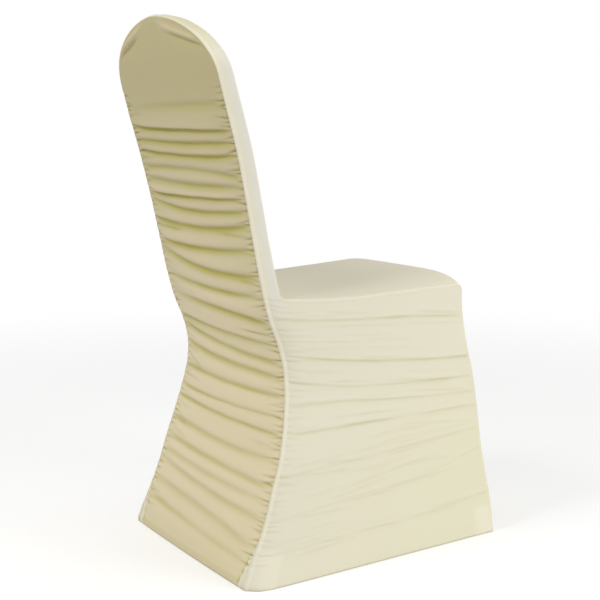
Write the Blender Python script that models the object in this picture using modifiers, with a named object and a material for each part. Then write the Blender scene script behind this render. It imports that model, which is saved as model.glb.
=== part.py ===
"""Stretch chair cover with a gathered back, as it hangs on a chair.

Metres, +Z up, the floor at z = 0.  The cover faces -Y: its gathered back panel
looks to +Y, its seat and front skirt to -Y.  +X is called left, -X right.
Every piece is a sheet: an open surface that Solidify thickens inwards.
"""

from collections import namedtuple

import bpy
import bmesh
import numpy as np

COLLECTION = "chair_cover"

# Driving sizes
SHEET = 0.0015            # thickness of the stretch cloth
GAP = 0.0004              # space kept between neighbouring pieces
HEM = 0.008               # height of the upright hem at the floor
STRIP = 0.028             # width of the strip round the backrest
SHOULDER = 0.840          # height where the domed top begins
DOME_HALF_WIDTH = 0.185
DOME_RISE = 0.1005
DOME_POWER = 1.7          # 2 would be an ellipse, less is a more pointed dome
DOME_RUN = 0.229          # length of the dome's edge from shoulder to middle
STRIP_ROUND = 0.002       # how far the strip bows outwards between its edges
STRIP_ROUND_RISE = 0.1    # height above the seat over which it begins to bow
STRIP_TUCK = 0.002        # how far its front edge is drawn in round the dome
CORNER_REACH = 0.015      # how quickly the side panel swells behind the back seam
BELLY = 0.008             # how far the back panel stands out along its middle
WAIST_BELLY = 0.010       # what the belly gains where the cover is drawn in
WAIST_HEIGHT = 0.330
WAIST_SPREAD = 0.120
HEM_BELLY = 0.3           # share of the belly left at the stretched hem
BELLY_RISE = 0.14         # height at which the back panel has its whole belly
CREASE_RADIUS = 0.012     # fillet between inner back and seat
FRONT_RADIUS = 0.014      # rounding between seat and front skirt
SEAT_FRONT = -0.2025      # depth of the seat's front edge at the sides
POCKET_SHEET = 0.0012     # thickness of a foot pocket
POCKET_HEIGHT = 0.056
POCKET_SIDE = 0.055       # length of a pocket along the side panel
POCKET_END = 0.030        # length of a pocket along the back or front
POCKET_LEAN = 0.0015      # how far a pocket's rim stands off the panels

# Back seam, from the floor to the top of the dome, and how far the side panel
# swells out beside it
SEAM_COLUMNS = ("height", "depth", "half_width", "swell")
SEAM = (
    (0.000, 0.2690, 0.2048, 0.0290),
    (0.040, 0.2530, 0.2050, 0.0210),
    (0.080, 0.2350, 0.2050, 0.0160),
    (0.120, 0.2199, 0.2040, 0.0130),
    (0.160, 0.2077, 0.2013, 0.0120),
    (0.200, 0.1943, 0.1994, 0.0115),
    (0.240, 0.1830, 0.1934, 0.0115),
    (0.280, 0.1743, 0.1858, 0.0120),
    (0.320, 0.1688, 0.1785, 0.0130),
    (0.360, 0.1698, 0.1746, 0.0140),
    (0.400, 0.1799, 0.1738, 0.0145),
    (0.440, 0.1964, 0.1750, 0.0135),
    (0.480, 0.2077, 0.1758, 0.0110),
    (0.560, 0.2253, 0.1774, 0.0050),
    (0.640, 0.2418, 0.1804, 0.0030),
    (0.720, 0.2606, 0.1848, 0.0030),
    (0.800, 0.2828, 0.1860, 0.0030),
    (0.840, 0.2930, 0.1850, 0.0030),
    (0.900, 0.3085, 0.1850, 0.0030),
    (0.945, 0.3200, 0.1850, 0.0030),
)

# Front corner of the skirt, from the floor to the seat
CORNER_COLUMNS = ("height", "depth", "half_width")
CORNER = (
    (0.000, -0.2765, 0.2080),
    (0.058, -0.2712, 0.2055),
    (0.119, -0.2590, 0.2025),
    (0.181, -0.2482, 0.1990),
    (0.243, -0.2408, 0.1965),
    (0.304, -0.2316, 0.1940),
    (0.372, -0.2150, 0.1915),
    (0.419, -0.2070, 0.1900),
    (0.480, SEAT_FRONT, 0.1895),
)

# Side edge of the seat, from front to back
SEAT_COLUMNS = ("depth", "height")
SEAT = (
    (-0.210, 0.4795),
    (-0.180, 0.4785),
    (-0.065, 0.4740),
    (0.090, 0.4710),
    (0.180, 0.4770),
)

# Creases of the gathered back: their heights at the left seam, in the middle
# and at the right seam, how deep and how wide they are, and the side to which
# they deepen (+1 left, -1 right)
Fold = namedtuple("Fold", "left middle right depth width deeper")
FOLDS = (
    Fold(0.7575, 0.7540, 0.7535, 0.0070, 0.0050, 0.0),
    Fold(0.7400, 0.7325, 0.7325, 0.0050, 0.0055, -0.2),
    Fold(0.7175, 0.7135, 0.7125, 0.0080, 0.0070, 0.4),
    Fold(0.6725, 0.6625, 0.6700, 0.0060, 0.0070, -0.1),
    Fold(0.6440, 0.6390, 0.6450, 0.0080, 0.0050, 0.1),
    Fold(0.6260, 0.6150, 0.6200, 0.0060, 0.0060, -0.5),
    Fold(0.5900, 0.5890, 0.6000, 0.0080, 0.0090, 0.1),
    Fold(0.5600, 0.5475, 0.5600, 0.0080, 0.0080, 0.0),
    Fold(0.5300, 0.5125, 0.5125, 0.0060, 0.0100, 0.0),
    Fold(0.4900, 0.4760, 0.4800, 0.0060, 0.0080, 0.2),
    Fold(0.4525, 0.4450, 0.4350, 0.0070, 0.0070, -0.5),
    Fold(0.4050, 0.3925, 0.4000, 0.0080, 0.0090, 0.4),
    Fold(0.3800, 0.3700, 0.3650, 0.0055, 0.0070, -0.1),
    Fold(0.3575, 0.3400, 0.3425, 0.0055, 0.0080, 0.0),
    Fold(0.3150, 0.3035, 0.3075, 0.0065, 0.0080, -0.2),
    Fold(0.2675, 0.2650, 0.2725, 0.0045, 0.0070, 0.0),
    Fold(0.2475, 0.2410, 0.2450, 0.0055, 0.0080, 0.1),
    Fold(0.2050, 0.2000, 0.2050, 0.0040, 0.0090, 0.0),
    Fold(0.1750, 0.1640, 0.1600, 0.0055, 0.0080, -0.2),
    Fold(0.1350, 0.1140, 0.1090, 0.0050, 0.0090, 0.2),
    Fold(0.0950, 0.0800, 0.0725, 0.0035, 0.0070, 0.0),
    Fold(0.0600, 0.0450, 0.0400, 0.0030, 0.0070, 0.0),
)
CREASE_SHARPNESS = 1.5    # power of the falling off on both sides of a crease
FOLD_CREST = 0.0025       # how far the cloth puffs out between its creases
GATHER_TOP = 0.800        # the gathers fade out over the dome above this
GATHER_FADE = 0.009
HEM_CALM = 0.090          # the gathers calm down at the floor's corners below this
SEAM_CALM = 8             # power with which the gathers run out at the seams

# Tension wrinkles of the side skirt: heights at the back seam, at one third,
# at two thirds and at the front corner, and their depth
Wrinkle = namedtuple("Wrinkle", "back third two_thirds front depth")
WRINKLES = (
    Wrinkle(0.4450, 0.4325, 0.4275, 0.4175, 0.0020),
    Wrinkle(0.3800, 0.3600, 0.3475, 0.3425, 0.0027),
    Wrinkle(0.3350, 0.3150, 0.3075, 0.3050, 0.0018),
    Wrinkle(0.2950, 0.2900, 0.2800, 0.2750, 0.0018),
    Wrinkle(0.2500, 0.2500, 0.2500, 0.2480, 0.0012),
    Wrinkle(0.1800, 0.1880, 0.1980, 0.2060, 0.0017),
    Wrinkle(0.1075, 0.1225, 0.1350, 0.1700, 0.0022),
    Wrinkle(0.0525, 0.0600, 0.0650, 0.0800, 0.0012),
)
WRINKLE_WIDTH = 0.007
WRINKLE_CALM = 0.012      # the wrinkles start this far from the seams

# Crown of the centre panel from the dome to the hem: how far its middle stands
# off the line between its edges, and how squarely it does so
CROWN_COLUMNS = ("way", "crown", "power")
CROWN = (
    (0.00, 0.0050, 2.0),
    (0.17, 0.0140, 2.0),
    (0.33, 0.0080, 3.0),
    (0.37, 0.0100, 4.0),
    (0.62, 0.0190, 5.0),
    (0.66, 0.0130, 7.0),
    (1.00, 0.0100, 8.0),
)

# Mesh density
BACK_HALF_COLUMNS = 7
CENTRE_HALF_COLUMNS = 6
STRIP_COLUMNS = 4
ROWS_PER_FOLD = (0.0, 0.22, 0.5, 0.78)
ROWS_PER_WRINKLE = (0.0, 0.3, 0.7)
DOME_ROWS = 30
STRIP_ROWS = 18
BACK_TOP_ROWS = 14
CENTRE_BACK_ROWS = 20
CENTRE_FRONT_ROWS = 14
SKIRT_STATIONS = (0.012, 0.03, 0.09, 0.20, 0.33, 0.47, 0.61, 0.75, 0.88, 0.96, 0.99, 1.0)
POCKET_SIDE_STEPS = (1.0, 0.8, 0.6, 0.4, 0.22, 0.11, 0.04)
POCKET_END_STEPS = (0.15, 0.4, 0.7, 1.0)
POCKET_ROWS = 4

# Colour and roughness of each kind of piece
FINISH = {
    "back": ((0.62, 0.56, 0.40), 0.80),
    "side": ((0.78, 0.74, 0.60), 0.78),
    "centre": ((0.72, 0.68, 0.54), 0.78),
    "pocket": ((0.84, 0.80, 0.68), 0.85),
}


def column(table, names, name):
    """One named column of a table as an array."""
    return np.array([row[names.index(name)] for row in table])


def through(stations, values, at):
    """Smooth curve through values at rising stations, read at the places at."""
    at = np.asarray(at, dtype=float)
    slopes = np.gradient(values, stations)
    i = np.clip(np.searchsorted(stations, at) - 1, 0, len(stations) - 2)
    span = stations[i + 1] - stations[i]
    t = np.clip((at - stations[i]) / span, 0.0, 1.0)
    start = values[i] * (1 + 2 * t) + span * slopes[i] * t
    end = values[i + 1] * (3 - 2 * t) + span * slopes[i + 1] * (t - 1)
    return start * (1 - t) ** 2 + end * t ** 2


def seam(name, z):
    """A column of the back seam at height z, upright within the hem."""
    heights = column(SEAM, SEAM_COLUMNS, "height")
    return through(heights, column(SEAM, SEAM_COLUMNS, name), np.maximum(z, HEM))


def corner(name, z):
    """A column of the front corner at height z, upright within the hem."""
    heights = column(CORNER, CORNER_COLUMNS, "height")
    return through(heights, column(CORNER, CORNER_COLUMNS, name), np.maximum(z, HEM))


def dome_height(x, inset=0.0):
    """Height of the domed edge above the half width x."""
    reach = np.clip(np.abs(x) / (DOME_HALF_WIDTH - inset), 0.0, 1.0)
    return SHOULDER + (DOME_RISE - inset) * np.sqrt(1 - reach ** DOME_POWER)


def outline(run, inset=0.0):
    """Half outline of the back at a run from the floor over the dome.

    Up to the shoulder the run is the height.  Past it the run goes round a
    quarter of a slightly pointed ellipse.  Returns x, z and the outward
    direction in x and z.
    """
    run = np.asarray(run, dtype=float)
    angle = np.clip((run - SHOULDER) / DOME_RUN, 0.0, 1.0) * np.pi / 2
    cosine = np.maximum(np.cos(angle), 0.0)
    on_dome = run > SHOULDER
    dome_x = (DOME_HALF_WIDTH - inset) * cosine ** (2 / DOME_POWER)
    x = np.where(on_dome, dome_x, seam("half_width", run) - inset)
    z = np.where(on_dome, SHOULDER + (DOME_RISE - inset) * np.sin(angle), run)
    out_x = DOME_RISE * cosine ** (2 - 2 / DOME_POWER)
    out_z = DOME_HALF_WIDTH * np.sin(angle) * 2 / DOME_POWER
    size = np.hypot(out_x, out_z)
    return x, z, out_x / size, out_z / size


def belly(z):
    """How far the middle of the back panel stands out behind its seams."""
    drawn_in = np.exp(-((z - WAIST_HEIGHT) / WAIST_SPREAD) ** 2)
    return BELLY + WAIST_BELLY * drawn_in


def fold_line(fold, u):
    """Height of a crease at u, from -1 at the right seam to +1 at the left."""
    at_middle = fold.middle * (1 - u * u)
    return fold.left * u * (u + 1) / 2 + at_middle + fold.right * u * (u - 1) / 2


def gathers(u, z):
    """Relief of the gathered back: creases drawn in, cloth puffed out between."""
    relief = np.full(np.broadcast(u, z).shape, FOLD_CREST)
    for fold in FOLDS:
        away = (z - fold_line(fold, u)) / fold.width
        relief = relief - fold.depth * (1 + fold.deeper * u) / (1 + away ** 2) ** CREASE_SHARPNESS
    fade = 1 / (1 + np.exp((z - GATHER_TOP) / GATHER_FADE))
    calm = 1 - np.abs(u) ** 3 * np.exp(-(z / HEM_CALM) ** 2)
    hem = np.clip((z - HEM) / (3 * HEM), 0.0, 1.0)
    return relief * fade * calm * hem * (1 - np.abs(u) ** SEAM_CALM)


def back_depth(u, z, arch=0.0):
    """Depth of the back panel before its gathers, bellied between the seams."""
    height = np.maximum(z, HEM)
    slack = np.clip(HEM_BELLY + (1 - HEM_BELLY) * height / BELLY_RISE, 0.0, 1.0)
    return seam("depth", z) + belly(height) * slack * (1 - u * u) * (1 - arch ** 2)


def wrinkle_line(wrinkle, share):
    """Height of a wrinkle at a share of the way from the back seam to the front."""
    stations = np.array([0.0, 1 / 3, 2 / 3, 1.0])
    return through(stations, np.array(wrinkle[:4]), share)


def wrinkles(share, z, length):
    """Depth of the side skirt's wrinkles, nothing at the seams."""
    relief = np.zeros(np.broadcast(share, z).shape)
    for wrinkle in WRINKLES:
        away = (z - wrinkle_line(wrinkle, share)) / WRINKLE_WIDTH
        relief = relief + wrinkle.depth / (1 + away ** 2) ** CREASE_SHARPNESS
    near = np.minimum(share, 1 - share) * length / WRINKLE_CALM
    return relief * np.clip(near, 0.0, 1.0)


def side_width(y, z):
    """Half width of the side panel at depth y and height z."""
    start = seam("depth", z)
    length = start - corner("depth", z)
    ahead = np.maximum(start - y, 0.0)
    share = np.clip(ahead / length, 0.0, 1.0)
    straight = seam("half_width", z) * (1 - share) + corner("half_width", z) * share
    swelling = seam("swell", z) * (1 - np.exp(-ahead / CORNER_REACH)) * (1 - share)
    return straight + swelling - wrinkles(share, z, length)


def seat_line(station):
    """Side edge of the seat from the strip (station 0) to the corner (1).

    It is filleted where it meets the strip and rounded down at the front.
    """
    depths = column(SEAT, SEAT_COLUMNS, "depth")
    heights = column(SEAT, SEAT_COLUMNS, "height")
    behind = seam("depth", heights[-1]) - STRIP
    y = behind + (SEAT_FRONT - behind) * station
    from_back = np.clip(1 - (behind - y) / CREASE_RADIUS, 0.0, 1.0)
    from_front = np.clip(1 - (y - SEAT_FRONT) / FRONT_RADIUS, 0.0, 1.0)
    rounded_off = FRONT_RADIUS * (1 - np.sqrt(1 - from_front ** 2))
    z = through(depths, heights, y) + CREASE_RADIUS * from_back ** 2 - rounded_off
    return skirt_depth(z, 1.0, station), z


def skirt_depth(z, strip_share, station):
    """Depth of a point of the side panel, across its strip and then its skirt."""
    start = seam("depth", z) - STRIP * strip_share
    return start + (corner("depth", z) - start) * station


def strip_flare(run, strip_share):
    """How far the strip stands out beyond the back seam at each run."""
    z = np.minimum(run, SHOULDER)
    swelling = side_width(seam("depth", z) - STRIP * strip_share, z) - seam("half_width", z)
    tucked = np.clip((z - SHOULDER + DOME_RISE) / DOME_RISE, 0.0, 1.0) ** 2
    return swelling - STRIP_TUCK * tucked * strip_share ** 2


def faces_between(rows, columns, first=0):
    """Quads of a grid of rows by columns whose points start at first."""
    r, c = np.meshgrid(np.arange(rows - 1), np.arange(columns - 1), indexing="ij")
    corner_index = (first + r * columns + c).ravel()
    quads = np.stack([corner_index, corner_index + 1, corner_index + columns + 1, corner_index + columns], 1)
    return quads.tolist()


def finish_of(name, kind):
    """A material of its own for a piece."""
    colour, roughness = FINISH[kind]
    material = bpy.data.materials.new(name + "_cloth")
    material.use_nodes = True
    shader = material.node_tree.nodes["Principled BSDF"]
    shader.inputs["Base Color"].default_value = (*colour, 1.0)
    shader.inputs["Roughness"].default_value = roughness
    shader.inputs["Metallic"].default_value = 0.0
    return material


def sheet(name, points, faces, kind, thickness, turned):
    """A thin sheet from an open surface, thickened on its inner side."""
    if turned:
        faces = [face[::-1] for face in faces]
    mesh = bpy.data.meshes.new(name)
    mesh.from_pydata(points.tolist(), [], faces)
    work = bmesh.new()
    work.from_mesh(mesh)
    bmesh.ops.remove_doubles(work, verts=work.verts, dist=0.00001)
    work.to_mesh(mesh)
    work.free()
    mesh.shade_smooth()
    piece = bpy.data.objects.new(name, mesh)
    piece.data.materials.append(finish_of(name, kind))
    wall = piece.modifiers.new("thickness", "SOLIDIFY")
    wall.thickness = thickness
    wall.offset = -1.0
    wall.use_even_offset = True
    bpy.data.collections[COLLECTION].objects.link(piece)
    return piece


def spread(half_columns):
    """Places from -1 to +1, closer together towards both ends."""
    return np.sin(np.linspace(-np.pi / 2, np.pi / 2, 2 * half_columns + 1))


def over_dome(side_height, u, inset):
    """How much the rows arch up between the seams to reach the domed edge."""
    top_x, top_z, _, _ = outline(SHOULDER + DOME_RUN / 2, inset)
    start = SHOULDER - DOME_RISE
    arch = np.clip((side_height - start) / (top_z - start), 0.0, 1.0) ** 2
    return arch, (dome_height(u * top_x, inset) - top_z) * arch


def back_panel():
    """The gathered back, from the dome to the floor."""
    inset = SHEET + GAP
    u = spread(BACK_HALF_COLUMNS)
    levels = [np.zeros_like(u), np.full_like(u, HEM), np.full_like(u, 3 * HEM)]
    creases = [fold_line(fold, u) for fold in reversed(FOLDS)]
    for low, high in zip(creases[:-1], creases[1:]):
        levels += [low + share * (high - low) for share in ROWS_PER_FOLD]
    top_run = SHOULDER + DOME_RUN / 2
    for share in np.linspace(0.0, 1.0, BACK_TOP_ROWS):
        levels.append(creases[-1] + share * (top_run - creases[-1]))
    x, side_z, _, _ = outline(np.array(levels), inset)
    arch, rise = over_dome(side_z, u, inset)
    z = side_z + rise
    relief = gathers(u, z)
    slope = (seam("depth", z + HEM) - seam("depth", z - HEM)) / (2 * HEM)
    y = back_depth(u, z, arch) + relief
    points = np.stack([x * u, y, z - relief * slope], 2)
    return sheet("back_panel", points.reshape(-1, 3), faces_between(*x.shape), "back", SHEET, True)


def side_panel(name, side):
    """Strip of the backrest and skirt below the seat, cut in one."""
    across = np.linspace(0.0, 1.0, STRIP_COLUMNS + 1)
    strip_share = np.concatenate([across, np.ones(len(SKIRT_STATIONS))])
    station = np.concatenate([np.zeros_like(across), SKIRT_STATIONS])
    top = seat_line(station)[1]
    skirt_length = seam("depth", WAIST_HEIGHT) - corner("depth", WAIST_HEIGHT)
    share = STRIP / skirt_length * strip_share * (1 - station) + station
    lines = [0 * station, HEM + 0 * station, 3 * HEM + 0 * station]
    creases = [wrinkle_line(wrinkle, share) for wrinkle in reversed(WRINKLES)]
    for low, high in zip(creases, creases[1:] + [top]):
        lines += [low + part * (high - low) for part in ROWS_PER_WRINKLE]
    z = np.array(lines + [top])
    y = skirt_depth(z, strip_share, station)
    skirt = np.stack([side_width(y, z), y, z], 2)
    up_strip = np.linspace(top[0], SHOULDER, STRIP_ROWS)
    over_top = np.linspace(SHOULDER, SHOULDER + DOME_RUN, DOME_ROWS)[1:]
    run = np.concatenate([up_strip, over_top])[:, None]
    edge_x, edge_z, out_x, out_z = outline(run)
    rounding = STRIP_ROUND * np.sin(np.pi * across) * np.clip((run - top[0]) / STRIP_ROUND_RISE, 0.0, 1.0)
    out = strip_flare(run, across) + rounding
    strip_x = np.maximum(edge_x + out * out_x, GAP / 2)
    strip_y = seam("depth", edge_z) - STRIP * across
    strip = np.stack([strip_x, strip_y, edge_z + out * out_z], 2)
    points = np.concatenate([skirt.reshape(-1, 3), strip.reshape(-1, 3)])
    points[:, 0] *= side
    faces = faces_between(*z.shape) + faces_between(len(run), STRIP_COLUMNS + 1, z.size)
    return sheet(name, points, faces, "side", SHEET, side > 0)


def crown_at(name, way):
    """A column of the crown table at a share of the centre panel's way."""
    return np.interp(way, column(CROWN, CROWN_COLUMNS, "way"), column(CROWN, CROWN_COLUMNS, name))


def centre_panel():
    """Inner back, seat top and front skirt in one length of cloth."""
    inset = SHEET + GAP
    u = spread(CENTRE_HALF_COLUMNS)
    flare = float(strip_flare(SHOULDER, 1.0))
    seat_y, seat_z = seat_line(np.concatenate([[0.0], SKIRT_STATIONS]))
    run = np.linspace(SHOULDER + DOME_RUN / 2, seat_z[0], CENTRE_BACK_ROWS)[:-1]
    back_x, back_z, _, _ = outline(run, inset - flare)
    back_x = np.where(run > SHOULDER, back_x, seam("half_width", run) + strip_flare(run, 1.0) - inset)
    front_z = np.append(np.linspace(seat_z[-1], 3 * HEM, CENTRE_FRONT_ROWS)[1:], [HEM, 0.0])
    front_y = corner("depth", front_z)
    edge_y = np.concatenate([seam("depth", back_z) - STRIP, seat_y, front_y])
    edge_z = np.concatenate([back_z, seat_z, front_z])
    low_x = side_width(edge_y[len(run):], edge_z[len(run):]) - inset
    edge_x = np.concatenate([back_x, low_x])
    step_y = np.gradient(edge_y)
    step_z = np.gradient(edge_z)
    length = np.hypot(step_y, step_z)
    way = np.cumsum(length) / np.sum(length)
    upright = np.clip(edge_z / (3 * HEM) - 1, 0.0, 1.0)
    out_y = (step_z / length)[:, None]
    out_z = (-step_y / length * upright)[:, None]
    arch, rise = over_dome(edge_z[:, None], u, inset - flare)
    square = np.abs(u) ** crown_at("power", way)[:, None]
    crown = crown_at("crown", way)[:, None] * (1 - square) * (1 - arch ** 2)
    lean = seam("depth", edge_z[:, None] + rise) - seam("depth", edge_z)[:, None]
    x = edge_x[:, None] * u
    y = edge_y[:, None] + crown * out_y + lean * (arch > 0)
    z = edge_z[:, None] + crown * out_z + rise
    points = np.stack([x, y, z], 2).reshape(-1, 3)
    return sheet("centre_panel", points, faces_between(*x.shape), "centre", SHEET, True)


def end_wall(end, x, z):
    """Depth of the outer face of the back or the front skirt at x and z."""
    if end == "back":
        u = x / seam("half_width", z)
        return back_depth(u, z) + gathers(u, z)
    u = x / corner("half_width", z)
    crown = crown_at("crown", 1.0) * (1 - np.abs(u) ** crown_at("power", 1.0))
    return corner("depth", z) - crown


def foot_pocket(name, side, end):
    """Corner pocket: a low wall inside the panels and a sole on the floor."""
    into = -1.0 if end == "back" else 1.0
    z = np.append([0.0], np.linspace(HEM, POCKET_HEIGHT, POCKET_ROWS))[:, None]
    lean = POCKET_LEAN * np.clip((z - HEM) / POCKET_HEIGHT, 0.0, 1.0)
    clear = SHEET + GAP + lean
    corner_y = seam("depth", z) if end == "back" else corner("depth", z)
    side_y = corner_y + into * POCKET_SIDE * np.array(POCKET_SIDE_STEPS)
    tilt = (side_width(side_y + GAP, z) - side_width(side_y - GAP, z)) / (2 * GAP)
    size = np.hypot(1.0, tilt)
    side_x = side_width(side_y, z) - clear / size
    side_y = side_y + clear * tilt / size
    end_x = side_x[:, -1:] - POCKET_END * np.array(POCKET_END_STEPS)
    end_y = end_wall(end, end_x, z) + into * (clear + 2 * GAP)
    x = np.concatenate([side_x, end_x], 1) * side
    y = np.concatenate([side_y, end_y], 1)
    points = np.stack([x, y, z + 0 * x], 2).reshape(-1, 3)
    sole = list(range(x.shape[1]))[::-1]
    faces = faces_between(*x.shape) + [sole]
    return sheet(name, points, faces, "pocket", POCKET_SHEET, (side > 0) == (end == "front"))


def centre_on_floor(pieces):
    """Shift the pieces so that the origin lies under the middle of the cover."""
    depths = [vertex.co.y for piece in pieces for vertex in piece.data.vertices]
    middle = (min(depths) + max(depths)) / 2
    for piece in pieces:
        for vertex in piece.data.vertices:
            vertex.co.y -= middle


def main():
    for thing in list(bpy.data.objects):
        bpy.data.objects.remove(thing, do_unlink=True)
    collection = bpy.data.collections.new(COLLECTION)
    bpy.context.scene.collection.children.link(collection)
    pieces = [back_panel(), centre_panel()]
    for word, side in (("right", -1.0), ("left", 1.0)):
        pieces.append(side_panel("side_panel_" + word, side))
        for end in ("back", "front"):
            pieces.append(foot_pocket("foot_pocket_" + end + "_" + word, side, end))
    centre_on_floor(pieces)


main()
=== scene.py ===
# %% [markdown]
# # A stretch chair cover with a gathered back
#
# A banquet chair wears this cover like a stocking.  Four lengths of ivory
# stretch knit are sewn together: a back that is gathered from the shoulders to
# the floor, two sides that are cut in one with the strip round the backrest,
# and a smooth length that runs down the inner back, over the seat and down the
# front.  Small pockets at the floor pull over the feet and keep it taut.
#
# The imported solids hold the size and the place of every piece.  This file puts
# a finer cloth in the place of each of them, with its creases, seams, stitches
# and knit.

# %% Load the frame
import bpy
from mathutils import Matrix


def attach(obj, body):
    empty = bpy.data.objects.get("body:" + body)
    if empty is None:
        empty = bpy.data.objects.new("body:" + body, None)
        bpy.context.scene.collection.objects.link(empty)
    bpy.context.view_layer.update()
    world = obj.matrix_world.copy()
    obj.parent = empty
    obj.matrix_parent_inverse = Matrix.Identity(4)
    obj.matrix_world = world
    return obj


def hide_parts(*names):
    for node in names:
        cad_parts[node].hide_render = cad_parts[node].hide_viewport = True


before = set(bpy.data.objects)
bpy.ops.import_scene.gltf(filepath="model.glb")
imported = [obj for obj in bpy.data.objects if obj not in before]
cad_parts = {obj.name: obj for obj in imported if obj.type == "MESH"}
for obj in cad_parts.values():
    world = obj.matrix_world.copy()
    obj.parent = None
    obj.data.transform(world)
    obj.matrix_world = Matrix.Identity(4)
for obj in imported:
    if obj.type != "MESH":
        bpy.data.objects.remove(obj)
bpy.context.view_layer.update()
print("nodes:", ", ".join(sorted(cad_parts)))

# %% Open the toolbox
from collections import namedtuple

import bmesh
import bpy
import numpy as np

print("Blender", bpy.app.version_string)

# %% [markdown]
# ## The cut of the cover
#
# The cloth is drawn over rounded posts, so every edge of it is a smooth curve.
# A curve like that can be drawn by hand as a Bezier, or run through a few
# measured stations.  The stations are used here, because a table is easy to
# read against a photograph and every panel can share its seams with the next.

# %% Sizes of the cover
MIDDLE = 0.016495         # the cover is measured from the seat, and shifted by this at the end
SHEET = 0.0015            # thickness of the cloth that the pockets keep clear of
CLOTH = 0.0012            # thickness of the cloth that is shown
GAP = 0.0001              # the least space between two cloths
SEAM_UNDER = 0.0004       # a sewn edge lies this far under the edge that covers it,
SEAM_INSET = 0.0003       # ends this far inside it,
SEAM_RUN = 0.0030         # and comes up to its own surface within this run
HEM = 0.008               # the cloth is upright up to this height
HEM_STITCH = 0.0100       # height of the stitches of the hem
STRIP = 0.028             # width of the strip round the backrest
STRIP_ROUND = 0.002       # its middle stands out this far,
STRIP_ROUND_RISE = 0.1    # from this far above the seat,
STRIP_SLACK = 0.0006      # and sways in and out by this
STRIP_TUCK = 0.002        # its front edge is drawn in this far at the shoulder
SHOULDER = 0.840          # height at which the dome starts
DOME_HALF_WIDTH = 0.185
DOME_RISE = 0.1005        # height of the dome over the shoulders
DOME_POWER = 1.7          # power of its superellipse: 2 would be round
DOME_RUN = 0.229          # way along the edge from a shoulder to the top
CORNER_REACH = 0.015      # the side has most of its swelling this far from the back seam
BELLY = 0.008             # the back stands off the line between its seams this far,
WAIST_BELLY = 0.010       # further by this at the waist,
WAIST_HEIGHT = 0.330
WAIST_SPREAD = 0.120
HEM_BELLY = 0.3           # by this share of it at the hem,
BELLY_RISE = 0.14         # and by all of it from here up
CREASE_RADIUS = 0.004     # fillet between the seat and the strip
FRONT_RADIUS = 0.014      # rounding of the seat's front edge
SEAT_FRONT = -0.2025
print("strip %.0f mm wide, dome %.0f mm high" % (1000 * STRIP, 1000 * DOME_RISE))

# %% Stations of the seams, the seat and the crown
SEAM_COLUMNS = ("height", "depth", "half_width", "swell")
SEAM = (
    (0.000, 0.2690, 0.2048, 0.0290),
    (0.040, 0.2530, 0.2050, 0.0210),
    (0.080, 0.2350, 0.2050, 0.0160),
    (0.120, 0.2199, 0.2040, 0.0130),
    (0.160, 0.2077, 0.2013, 0.0120),
    (0.200, 0.1943, 0.1994, 0.0115),
    (0.240, 0.1830, 0.1934, 0.0115),
    (0.280, 0.1743, 0.1858, 0.0120),
    (0.320, 0.1688, 0.1785, 0.0130),
    (0.360, 0.1698, 0.1746, 0.0140),
    (0.400, 0.1799, 0.1738, 0.0145),
    (0.440, 0.1964, 0.1750, 0.0135),
    (0.480, 0.2077, 0.1758, 0.0110),
    (0.560, 0.2253, 0.1774, 0.0050),
    (0.640, 0.2418, 0.1804, 0.0030),
    (0.720, 0.2606, 0.1848, 0.0030),
    (0.800, 0.2828, 0.1860, 0.0030),
    (0.840, 0.2930, 0.1850, 0.0030),
    (0.900, 0.3085, 0.1850, 0.0030),
    (0.945, 0.3200, 0.1850, 0.0030),
)
CORNER_COLUMNS = ("height", "depth", "half_width")
CORNER = (
    (0.000, -0.2765, 0.2080),
    (0.058, -0.2712, 0.2055),
    (0.119, -0.2590, 0.2025),
    (0.181, -0.2482, 0.1990),
    (0.243, -0.2408, 0.1965),
    (0.304, -0.2316, 0.1940),
    (0.372, -0.2150, 0.1915),
    (0.419, -0.2070, 0.1900),
    (0.480, SEAT_FRONT, 0.1895),
)
SEAT_COLUMNS = ("depth", "height")
SEAT = (
    (-0.210, 0.4795),
    (-0.180, 0.4785),
    (-0.065, 0.4740),
    (0.090, 0.4710),
    (0.180, 0.4770),
)
CROWN_COLUMNS = ("way", "crown", "power")
CROWN = (
    (0.00, 0.0050, 2.0),
    (0.17, 0.0140, 2.0),
    (0.33, 0.0080, 3.0),
    (0.37, 0.0100, 4.0),
    (0.62, 0.0190, 5.0),
    (0.66, 0.0130, 7.0),
    (1.00, 0.0100, 8.0),
)
print("stations of the back seam:", len(SEAM), "of the front corner:", len(CORNER))


# %% Curves through the stations
def column(table, names, name):
    """One named column of a table as an array."""
    return np.array([row[names.index(name)] for row in table])


def through(stations, values, at):
    """Cubic curve through values at the stations: each span starts and ends
    with the slope of the line between its neighbours."""
    at = np.asarray(at, dtype=float)
    slopes = np.gradient(values, stations)
    i = np.clip(np.searchsorted(stations, at) - 1, 0, len(stations) - 2)
    span = stations[i + 1] - stations[i]
    t = np.clip((at - stations[i]) / span, 0.0, 1.0)
    start = values[i] * (1 + 2 * t) + span * slopes[i] * t
    end = values[i + 1] * (3 - 2 * t) + span * slopes[i + 1] * (t - 1)
    return start * (1 - t) ** 2 + end * t ** 2


def seam(name, z):
    """A column of the back seam at height z, upright within the hem."""
    heights = column(SEAM, SEAM_COLUMNS, "height")
    return through(heights, column(SEAM, SEAM_COLUMNS, name), np.maximum(z, HEM))


def corner(name, z):
    """A column of the front corner at height z, upright within the hem."""
    heights = column(CORNER, CORNER_COLUMNS, "height")
    return through(heights, column(CORNER, CORNER_COLUMNS, name), np.maximum(z, HEM))


def ease(value, low=0.0, high=1.0):
    """Smooth step: 0 below low, 1 above high, and 3t^2 - 2t^3 between them."""
    t = np.clip((value - low) / (high - low), 0.0, 1.0)
    return t * t * (3 - 2 * t)


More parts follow.
